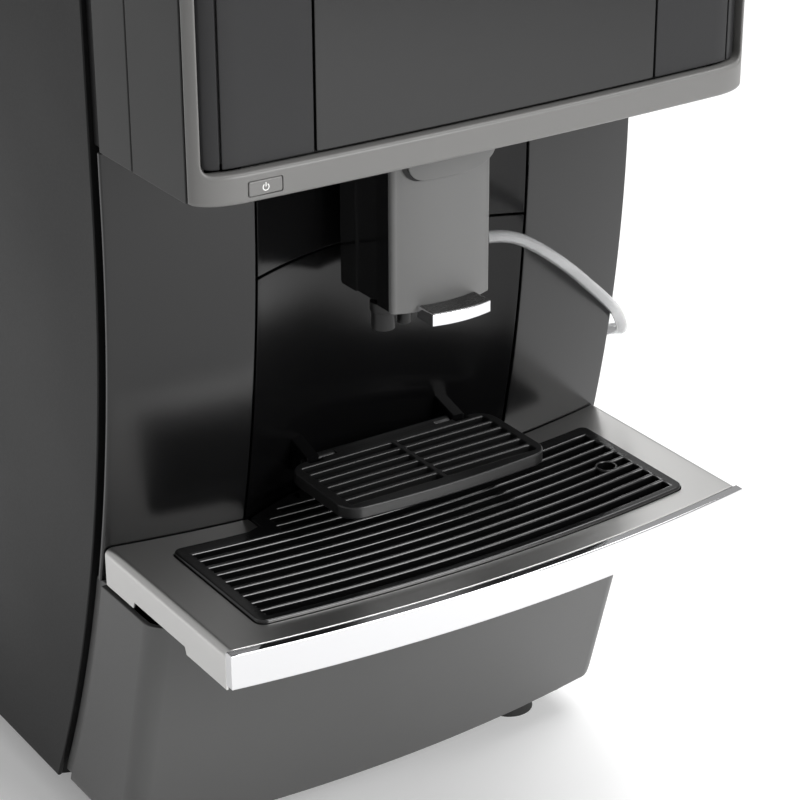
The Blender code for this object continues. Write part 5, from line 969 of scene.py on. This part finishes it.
collar = tongue(0.0080, 0.0075, 0.3787, -0.0022, 0.0, 0.0004)
# A thin plate in the bay's deepest black sits just behind the tongue and shows past its left foot and lower
# edge: a painted shadow of the gap under the collar, not a real seal.
painted_shadow_crescent = tongue(0.0052, 0.0085, 0.3781, -0.0003, 0.0001, 0.0001)
fitted(painted_shadow_crescent, "spout_collar_seal", bay_shade_black, "rubber", "housing", smooth=50)
fitted(collar, "spout_collar_tongue", textured_grey, "dark_grey", "housing", "spout_collar", smooth=50)


def lip_plate(half, front, back, low, high, edge):
    """A flat plate that stands out from the cover with a bowed front."""
    xs = spread(-half, half, 24)
    outline = [(x, CHORD_Y + front + 0.0022 * (x / LIP_HALF) ** 2) for x in xs]
    outline += [(x, cover_y(x) - back) for x in reversed(xs)]
    return cut_plate([outline], low, high, edge)


chrome = grained(
    "polished_chrome", (0.71, 0.71, 0.72), (0.75, 0.75, 0.76), (0.03, 0.07), 60.0, 0.000004, metallic=1.0
)
lip = lip_plate(LIP_HALF, 0.0337, 0.0003, 0.3092, 0.3154, 0.0005)
fitted(lip, "spout_lip_bar", chrome, "chrome", "spout", "spout_lip", smooth=50)
# The lip's top is a thin plate of dark steel laid on the chrome: a painted reflection of the dark cover that
# the chrome top mirrors.
lip_reflection_steel = grained(
    "lip_top_painted_reflection", (0.10, 0.10, 0.10), (0.15, 0.15, 0.148), (0.22, 0.34), 240.0, 0.0000010,
    stretch=(1.0, 14.0, 14.0), metallic=1.0,
)
lip_top_reflection = lip_plate(0.0158, 0.0345, 0.0010, 0.3150, 0.3156, 0.0001)
fitted(lip_top_reflection, "spout_lip_inlay", lip_reflection_steel, "steel", "spout", smooth=50)
refinished(gloss_black, "spout_body", "spout_guide")


# Outlets: two coffee nozzles on one plate, and a wider hot water nozzle with a collar. They
# are turned-looking mouldings, pressed up into the carriage.
OUTLET_Y = CHORD_Y + 0.0712
OUTLET_END_Z = 0.2977
WATER_X = -0.0215
dull_black = grained(
    "dull_black_plastic", (0.010, 0.010, 0.010), (0.015, 0.015, 0.015), (0.36, 0.5), 900.0, 0.000006,
    specular=0.35,
)


def nozzle(x, top, bottom, radius, bore):
    """A short tube whose lower end is bored and rounded."""
    length = top - bottom
    made = cylinder(radius, length, (x, OUTLET_Y, (top + bottom) / 2))
    stamped(made, is_underside, (radius - bore, (0, 0, length * 0.8)))
    return applied(turned_edges(made, 0.0004, 3))


outlet = cut_plate([around(0, OUTLET_Y, 0.0142, 0.0045, 0.003)], 0.3093, 0.3121, 0.0005)
for x in (-0.0095, 0.0095):
    joined(outlet, nozzle(x, 0.3100, OUTLET_END_Z, 0.0033, 0.0019))
fitted(outlet, "coffee_nozzles", dull_black, "gloss_black", "spout", "coffee_outlet")
water = nozzle(WATER_X, 0.3121, 0.3071, 0.0065, 0.0036)
joined(water, nozzle(WATER_X, 0.3080, OUTLET_END_Z, 0.0058, 0.0036))
fitted(water, "hot_water_spout", dull_black, "gloss_black", "spout", "hot_water_nozzle")
port = cylinder(0.0036, 0.0012, (0.0289, -0.1535, 0.3365), "X")
stamped(port, is_top, (0.0008, (-0.0004, 0, 0)))
turned_edges(port, 0.0002, 2)
fitted(port, "milk_port_stub", dull_black, "gloss_black", "spout", "milk_port")


# Drip tray: a brushed steel top, bent down over both sides, a polished chrome bar across its
# bowed front and a black basin under it.
TRAY_HALF = 0.151
GRILLE_HALF = 0.1262
TONGUE_HALF = 0.0765
GRILLE_CORNER = 0.005
ROLL_START = 0.147
ROLL_RADIUS = 0.004
ROLL_END = ROLL_START + ROLL_RADIUS * math.pi / 2
SHEET_END = ROLL_END + 0.0165
NOTCH_END = SHEET_END - 0.0037
SHEET_THICK = 0.0012
BAR_LOW_Z = 0.1737
BAR_THICK = 0.0050
GAP = 0.0004


def tray_front(x):
    return CHORD_Y - BOW * (1 - (x / TRAY_HALF) ** 2)


def rise(x):
    """How far an arc parallel to the tray's front lies behind its middle."""
    return BOW * (x / TRAY_HALF) ** 2


def grille_side(grow):
    """The right half of the grille's outline, from the middle of its front to the tongue's side."""
    half = GRILLE_HALF + grow
    edge = half - GRILLE_CORNER
    chord = CHORD_Y - rise(GRILLE_HALF)
    front = chord + 0.0167 - grow
    back = chord + 0.1018 + grow
    points = [(x, front + rise(x)) for x in spread(0, edge, 24)]
    for angle in arc(0, 90, 6)[1:]:
        x = edge + GRILLE_CORNER * math.sin(angle)
        points.append((x, front + rise(x) + GRILLE_CORNER * (1 - math.cos(angle))))
    for angle in arc(0, 90, 6):
        x = edge + GRILLE_CORNER * math.cos(angle)
        points.append((x, back + rise(x) - GRILLE_CORNER * (1 - math.sin(angle))))
    return points + [(x, back + rise(x)) for x in spread(edge, 0.0850 + grow, 6)[1:]]


def sheet_x(u):
    """Where the bent sheet's own width u lies across the tray."""
    if abs(u) <= ROLL_START:
        return u
    turn = min(math.pi / 2, (abs(u) - ROLL_START) / ROLL_RADIUS)
    return math.copysign(ROLL_START + ROLL_RADIUS * math.sin(turn), u)


def back_edge(u):
    return pillar_y(sheet_x(u), TRAY_Z) - 0.0006


across = spread(-SHEET_END, -ROLL_END, 2) + spread(-ROLL_END, -ROLL_START, 8)[1:]
across += spread(-ROLL_START, ROLL_START, 48)[1:]
across += spread(ROLL_START, ROLL_END, 8)[1:] + spread(ROLL_END, SHEET_END, 2)[1:]
side_notch = [
    (SHEET_END, CHORD_Y + 0.043), (NOTCH_END, CHORD_Y + 0.0445),
    (NOTCH_END, CHORD_Y + 0.0945), (SHEET_END, CHORD_Y + 0.096),
]
opening = grille_side(GAP)
shoulder = [(TONGUE_HALF + GAP, back_edge(TONGUE_HALF)), (TONGUE_HALF + GAP, opening[-1][1] + 0.003)]
steel_outline = [(u, tray_front(sheet_x(u)) + 0.0053) for u in across]
steel_outline += side_notch
steel_outline += [(u, back_edge(u)) for u in reversed(across) if u > TONGUE_HALF + 0.002]
steel_outline += shoulder + opening[::-1] + [(-x, y) for x, y in opening[1:] + shoulder[::-1]]
steel_outline += [(u, back_edge(u)) for u in reversed(across) if u < -TONGUE_HALF - 0.002]
steel_outline += [(-u, y) for u, y in reversed(side_notch)]
steel_top = ruled(cut_plate([steel_outline], -SHEET_THICK, 0.0, 0.0003), 0, across[1:-1])
for vertex in steel_top.data.vertices:
    u, y, depth = vertex.co
    side = math.copysign(1, u)
    fold_z = TRAY_Z - ROLL_RADIUS
    if abs(u) <= ROLL_START:
        vertex.co = (u, y, TRAY_Z + depth)
    elif abs(u) <= ROLL_END:
        turn = (abs(u) - ROLL_START) / ROLL_RADIUS
        radius = ROLL_RADIUS + depth
        vertex.co = (side * (ROLL_START + radius * math.sin(turn)), y, fold_z + radius * math.cos(turn))
    else:
        vertex.co = (side * (TRAY_HALF + depth), y, fold_z - (abs(u) - ROLL_END))
brushed = grained(
    "brushed_steel", (0.62, 0.615, 0.605), (0.68, 0.675, 0.665), (0.30, 0.40), 130.0, 0.0000008,
    slow=5.0, stretch=(1.0, 24.0, 24.0), metallic=1.0,
)
fitted(steel_top, "tray_steel_top", brushed, "steel", "drip_tray", "tray_top", smooth=40)

bar_xs = spread(-TRAY_HALF, TRAY_HALF, 72)
bar_plan = [(x, tray_front(x)) for x in bar_xs] + [(x, tray_front(x) + BAR_THICK) for x in reversed(bar_xs)]
bar = cut_plate([bar_plan], BAR_LOW_Z, TRAY_Z, 0.0008)
fitted(bar, "tray_chrome_bar", chrome, "chrome", "drip_tray", "tray_front_bar", smooth=50)
refinished(satin_black, "drip_basin")


# Grille: one glossy T-shaped moulding whose slats follow the tray's bowed front. Its tongue
# runs back into the bay, and a ring in it shows the level float.
SLAT_PITCH = 0.00821
SLOT_HALF_WIDTH = 0.0028
SLOT_HALF = 0.1195
FIRST_SLOT = 0.0274
GRILLE_LOW = TRAY_Z - 0.0045
GRILLE_TOP = TRAY_Z + 0.0020
FLOAT_X = 0.1060
FLOAT_Y = CHORD_Y + 0.0560


def slot_outline(row, half):
    """One slot, parallel to the tray's front, rows counted from the front."""
    xs = spread(-half, half, 32)
    middle = FIRST_SLOT + SLAT_PITCH * (row - 0.5)
    front = [(x, CHORD_Y - rise(SLOT_HALF) + middle - SLOT_HALF_WIDTH + rise(x)) for x in xs]
    return front + [(x, y + 2 * SLOT_HALF_WIDTH) for x, y in reversed(front)]


def rod(radius, depth, place, along, edge, vertices=32):
    """A short round bar with soft ends."""
    return applied(turned_edges(cylinder(radius, depth, place, along, vertices), edge, 2))


grille_right = grille_side(0)
grille_right.append((TONGUE_HALF, grille_right[-1][1] + 0.003))
tongue_end = [(x, bay_y(x, TRAY_Z) - 0.0042) for x in spread(TONGUE_HALF, -TONGUE_HALF, 24)]
grille_outlines = [grille_right + tongue_end + [(-x, y) for x, y in reversed(grille_right[1:])]]
grille_outlines += [slot_outline(row, SLOT_HALF) for row in range(9)]
for row, share in enumerate((0.915, 0.90, 0.79, 0.59), 9):
    grille_outlines.append(slot_outline(row, TONGUE_HALF * share))
grille_black = blackened("grille_black_plastic", 0.0032, 0.0050, (0.14, 0.24), 500.0, 0.0000015, 0.80)
grille = cut_plate(grille_outlines, GRILLE_LOW, GRILLE_TOP, 0.0012, "Z", 4)
drill = cylinder(0.0050, 0.020, (FLOAT_X, FLOAT_Y, TRAY_Z))
worked(grille, "BOOLEAN", operation="DIFFERENCE", object=drill, solver="EXACT")
bpy.data.objects.remove(drill)
ring = [circle(FLOAT_X, FLOAT_Y, radius, 48) for radius in (0.0060, 0.0046)]
joined(grille, cut_plate(ring, GRILLE_LOW, GRILLE_TOP, 0.0005))
for stud_x in (-0.115, 0.115):
    for stud_y in (0.0176, 0.0958):
        joined(grille, rod(0.0022, 0.0150, (stud_x, CHORD_Y + stud_y, 0.1806), "Z", 0.0004, 24))
fitted(grille, "slatted_grille", grille_black, "gloss_black", "grille", "grille", smooth=40)
refinished(anthracite, "tray_float")


# Cup platform: a smaller slatted moulding, hung on a round pin between the two lugs. It stands
# over the grille's tongue and folds up against the bay's wall.
PLATFORM_LOW = CHORD_Y + 0.0430
PLATFORM_BACK = CHORD_Y + 0.1010
PLATFORM_HALF = 0.0604
PLATFORM_CORNER = 0.011
PLATFORM_LOW_Z = 0.2143
PLATFORM_TOP_Z = 0.2209


def platform_outline():
    """A bowed front, round corners and a notch round each lug."""
    outline = rounded(-PLATFORM_HALF, PLATFORM_LOW, PLATFORM_HALF, PLATFORM_BACK, PLATFORM_CORNER, 8)
    notches = []
    for side in (1, -1):
        ends = (side * LUG_X + 0.0041, side * LUG_X - 0.0041)
        inside = PLATFORM_BACK - 0.003
        notches += [(ends[0], PLATFORM_BACK), (ends[0], inside), (ends[1], inside), (ends[1], PLATFORM_BACK)]
    edge = PLATFORM_HALF - PLATFORM_CORNER
    front = [(x, PLATFORM_LOW - 0.0022 * (1 - (x / edge) ** 2)) for x in spread(-edge, edge, 16)[1:-1]]
    return outline[:18] + notches + outline[18:] + front


platform_black = blackened("satin_platform_plastic", 0.0060, 0.0090, (0.26, 0.36), 1100.0, 0.0000040)
platform_outlines = [platform_outline()]
for i in range(6):
    middle = CHORD_Y + 0.0473 + SLAT_PITCH * (i + 0.5)
    for side in (-1, 1):
        low_x, high_x = sided(side, 0.0015, 0.0550)
        platform_outlines.append(
            rounded(low_x, middle - SLOT_HALF_WIDTH, high_x, middle + SLOT_HALF_WIDTH, 0.0008, 3)
        )
platform = cut_plate(platform_outlines, PLATFORM_LOW_Z, PLATFORM_TOP_Z, 0.0009)
bridge = cut_plate([rounded(-0.030, CHORD_Y + 0.098, 0.030, AXLE_Y, 0.0005, 2)], 0.2146, 0.2206, 0.0005)
joined(platform, bridge)
for half, radius in ((0.0400, 0.0031), (0.0475, 0.0018)):
    joined(platform, rod(radius, 2 * half, (0, AXLE_Y, AXLE_Z), "X", 0.0003))
fitted(platform, "slatted_platform", platform_black, "gloss_black", "cup_platform", "cup_platform", smooth=40)


# Drawer front: a tall bowed moulding below the tray that wraps round both sides and leans back
# towards its rounded foot. The grounds container stands behind it.
CHIN_HALF = 0.1511
CHIN_LOW_Z = 0.0242
CHIN_TOP_Z = 0.1682
CHIN_CORNER = 0.012
CHIN_FOOT = 0.008
CHIN_WALL = 0.003


def chin_side(z):
    return CHORD_Y + 0.0745 + 0.283 * (CHIN_TOP_Z - z)


def chin_line(half, z, inset):
    """The moulding's plan at a level: its steps, sides, round corners and bowed front."""
    edge = half - CHIN_CORNER
    radius = CHIN_CORNER - inset
    right = []
    for angle in arc(0, 90, 10):
        y = chin_side(z) + CHIN_CORNER - radius * math.cos(angle)
        right.append((edge + radius * math.sin(angle), y))
    back = edge_y(z) - 0.0006 - inset
    step = half - inset - 0.0031
    right += [(half - inset, back), (step, back), (step, edge_y(z) + 0.0099)]
    middle = []
    for x in spread(-edge, edge, 32)[1:-1]:
        middle.append((x, chin_side(z) - 0.0120 * (1 - (x / edge) ** 2) + inset))
    return [(-x, y) for x, y in reversed(right)] + middle + right


def chin_section(z):
    low = max(0.0, CHIN_LOW_Z + CHIN_FOOT - z) / CHIN_FOOT
    half = CHIN_HALF - CHIN_FOOT * 0.12 * (1 - math.sqrt(max(0.0, 1 - low**2)))
    return chin_line(half, z, 0) + chin_line(half, z, CHIN_WALL)[::-1]


chin_grey = grained(
    "satin_grey_plastic", (0.076, 0.076, 0.075), (0.090, 0.090, 0.089), (0.34, 0.46), 1500.0, 0.000006
)
chin_levels = spread(CHIN_LOW_Z, 0.0322, 8) + spread(0.0322, CHIN_TOP_Z, 28)[1:]
chin = skinned(chin_section, chin_levels)
turned_edges(chin, 0.0006, 3, 50)
fitted(chin, "drawer_front", chin_grey, "dark_grey", "grounds_drawer", "lower_front_panel")
smoked = grained(
    "smoked_plastic", (0.10, 0.095, 0.09), (0.13, 0.125, 0.12), (0.06, 0.14), 500.0, 0.000002,
    clear=(0.75, 1.49),
)
refinished(smoked, "grounds_container", "bean_hopper", "water_tank")


# Top cover and its lids: a satin black plate with wells for beans, water and ground coffee,
# each under a soft-edged lid on a rear hinge.
DIAL_X = 0.108
DIAL_Y = -0.030
INNER_HALF = 0.1432
LID_BASE = 0.5586
LID_WALL = 0.0025
BARREL = 0.0028
back_corners = rounded(-HALF, COVER_FRONT, HALF, REAR_Y, 0.004)[7:21]
top_outline = [(-HALF, COVER_FRONT), (-INNER_HALF, COVER_FRONT)] + head_plan(0.0083, 24, 12)
top_outline += [(INNER_HALF, COVER_FRONT), (HALF, COVER_FRONT)] + back_corners
wells = [
    rounded(-0.0106, 0.0354, 0.1306, 0.1926, 0.012),
    rounded(-0.1406, 0.0394, -0.0474, 0.2056, 0.010),
    rounded(-0.0266, -0.0436, 0.0226, -0.0084, 0.002),
    circle(DIAL_X, DIAL_Y, 0.0046, 32),
]
top = cut_plate([top_outline] + wells, 0.5540, HEAD_TOP_Z, 0.0004)
fitted(top, "top_plate", satin_black, "satin_black", "housing", "top_cover")
refinished(satin_black, "powder_chute")


def lid(name, low_x, low_y, high_x, high_y, height, corner, soft):
    """A moulded lid: a block with rounded corners and top edge, hollow below, with a hinge barrel."""
    centre = ((low_x + high_x) / 2, (low_y + high_y) / 2, LID_BASE + height / 2)
    top_z = LID_BASE + height - 0.0001
    bpy.ops.object.select_all(action="DESELECT")
    bpy.ops.mesh.primitive_cube_add(size=1, location=centre, scale=(high_x - low_x, high_y - low_y, height))
    made = applied(bpy.context.active_object)
    picked(made, "EDGE", lambda edge: abs(edge.verts[0].co.z - edge.verts[1].co.z) > height / 2)
    bpy.ops.mesh.bevel(offset=corner, segments=10)
    done()
    picked(made, "EDGE", lambda edge: min(v.co.z for v in edge.verts) > top_z)
    bpy.ops.mesh.bevel(offset=soft, segments=5)
    done()
    stamped(made, is_underside, (LID_WALL, (0, 0, height - LID_WALL - soft / 2)))
    stamped(
        made, lambda face: face.normal.z > 0.99 and face.calc_center_median().z > top_z,
        (soft, None), (0.0008, (0, 0, -0.0005)),
    )
    hinge = (centre[0], high_y + 0.0016, LID_BASE + BARREL)
    joined(made, rod(BARREL, (high_x - low_x) / 2, hinge, "X", 0.0004))
    fitted(made, name + "_moulding", satin_black, "satin_black", name, name)


lid("hopper_lid", -0.015, 0.031, 0.135, 0.197, 0.0214, 0.014, 0.004)
lid("tank_lid", -0.145, 0.035, -0.043, 0.210, 0.0075, 0.014, 0.003)
lid("powder_lid", -0.031, -0.048, 0.027, -0.004, 0.0075, 0.008, 0.003)


# Grind dial: a glossy moulded knob with eight finger scallops, pressed on the grinder's shaft.
# Its pointer is printed on it in white.
DIAL_RADIUS = 0.014
SCALLOPS = 8
scalloped = []
for i in range(96):
    angle = 2 * math.pi * i / 96
    nearest = (angle * SCALLOPS / (2 * math.pi) + 0.5) % 1 - 0.5
    radius = DIAL_RADIUS - 0.0018 * max(0.0, 1 - (nearest / 0.17) ** 2)
    scalloped.append((DIAL_X + radius * math.cos(angle), DIAL_Y + radius * math.sin(angle)))
dial = cut_plate([scalloped], 0.5563, 0.5663, 0.0012)
joined(dial, cut_plate([circle(DIAL_X, DIAL_Y, 0.004, 32)], 0.5463, 0.5570, 0.0003))
fitted(dial, "grind_knob", gloss_black, "gloss_black", "grind_dial", "grind_dial", smooth=40)
pointer = cut_plate([rounded(0.1073, -0.0424, 0.1087, -0.0340, 0.0005, 3)], 0.5660, 0.5664, 0.0001, "Z", 1)
fitted(pointer, "grind_pointer", white_print, "gloss_black", "grind_dial")


# Works inside the body: cast grinder, steel burr and boiler, moulded brew unit and its piston,
# and the pump on its rubber foot. They show only with the lids and drawer open.
cast = grained(
    "cast_aluminium", (0.46, 0.47, 0.48), (0.56, 0.57, 0.58), (0.40, 0.58), 420.0, 0.00003, metallic=1.0
)
ground = grained(
    "ground_steel", (0.52, 0.52, 0.51), (0.60, 0.60, 0.59), (0.22, 0.36), 160.0, 0.000006, metallic=1.0
)
refinished(cast, "grinder", "water_pump")
refinished(ground, "grinder_burr", "boiler")
refinished(satin_black, "brew_unit")
refinished(gloss_black, "brew_piston")
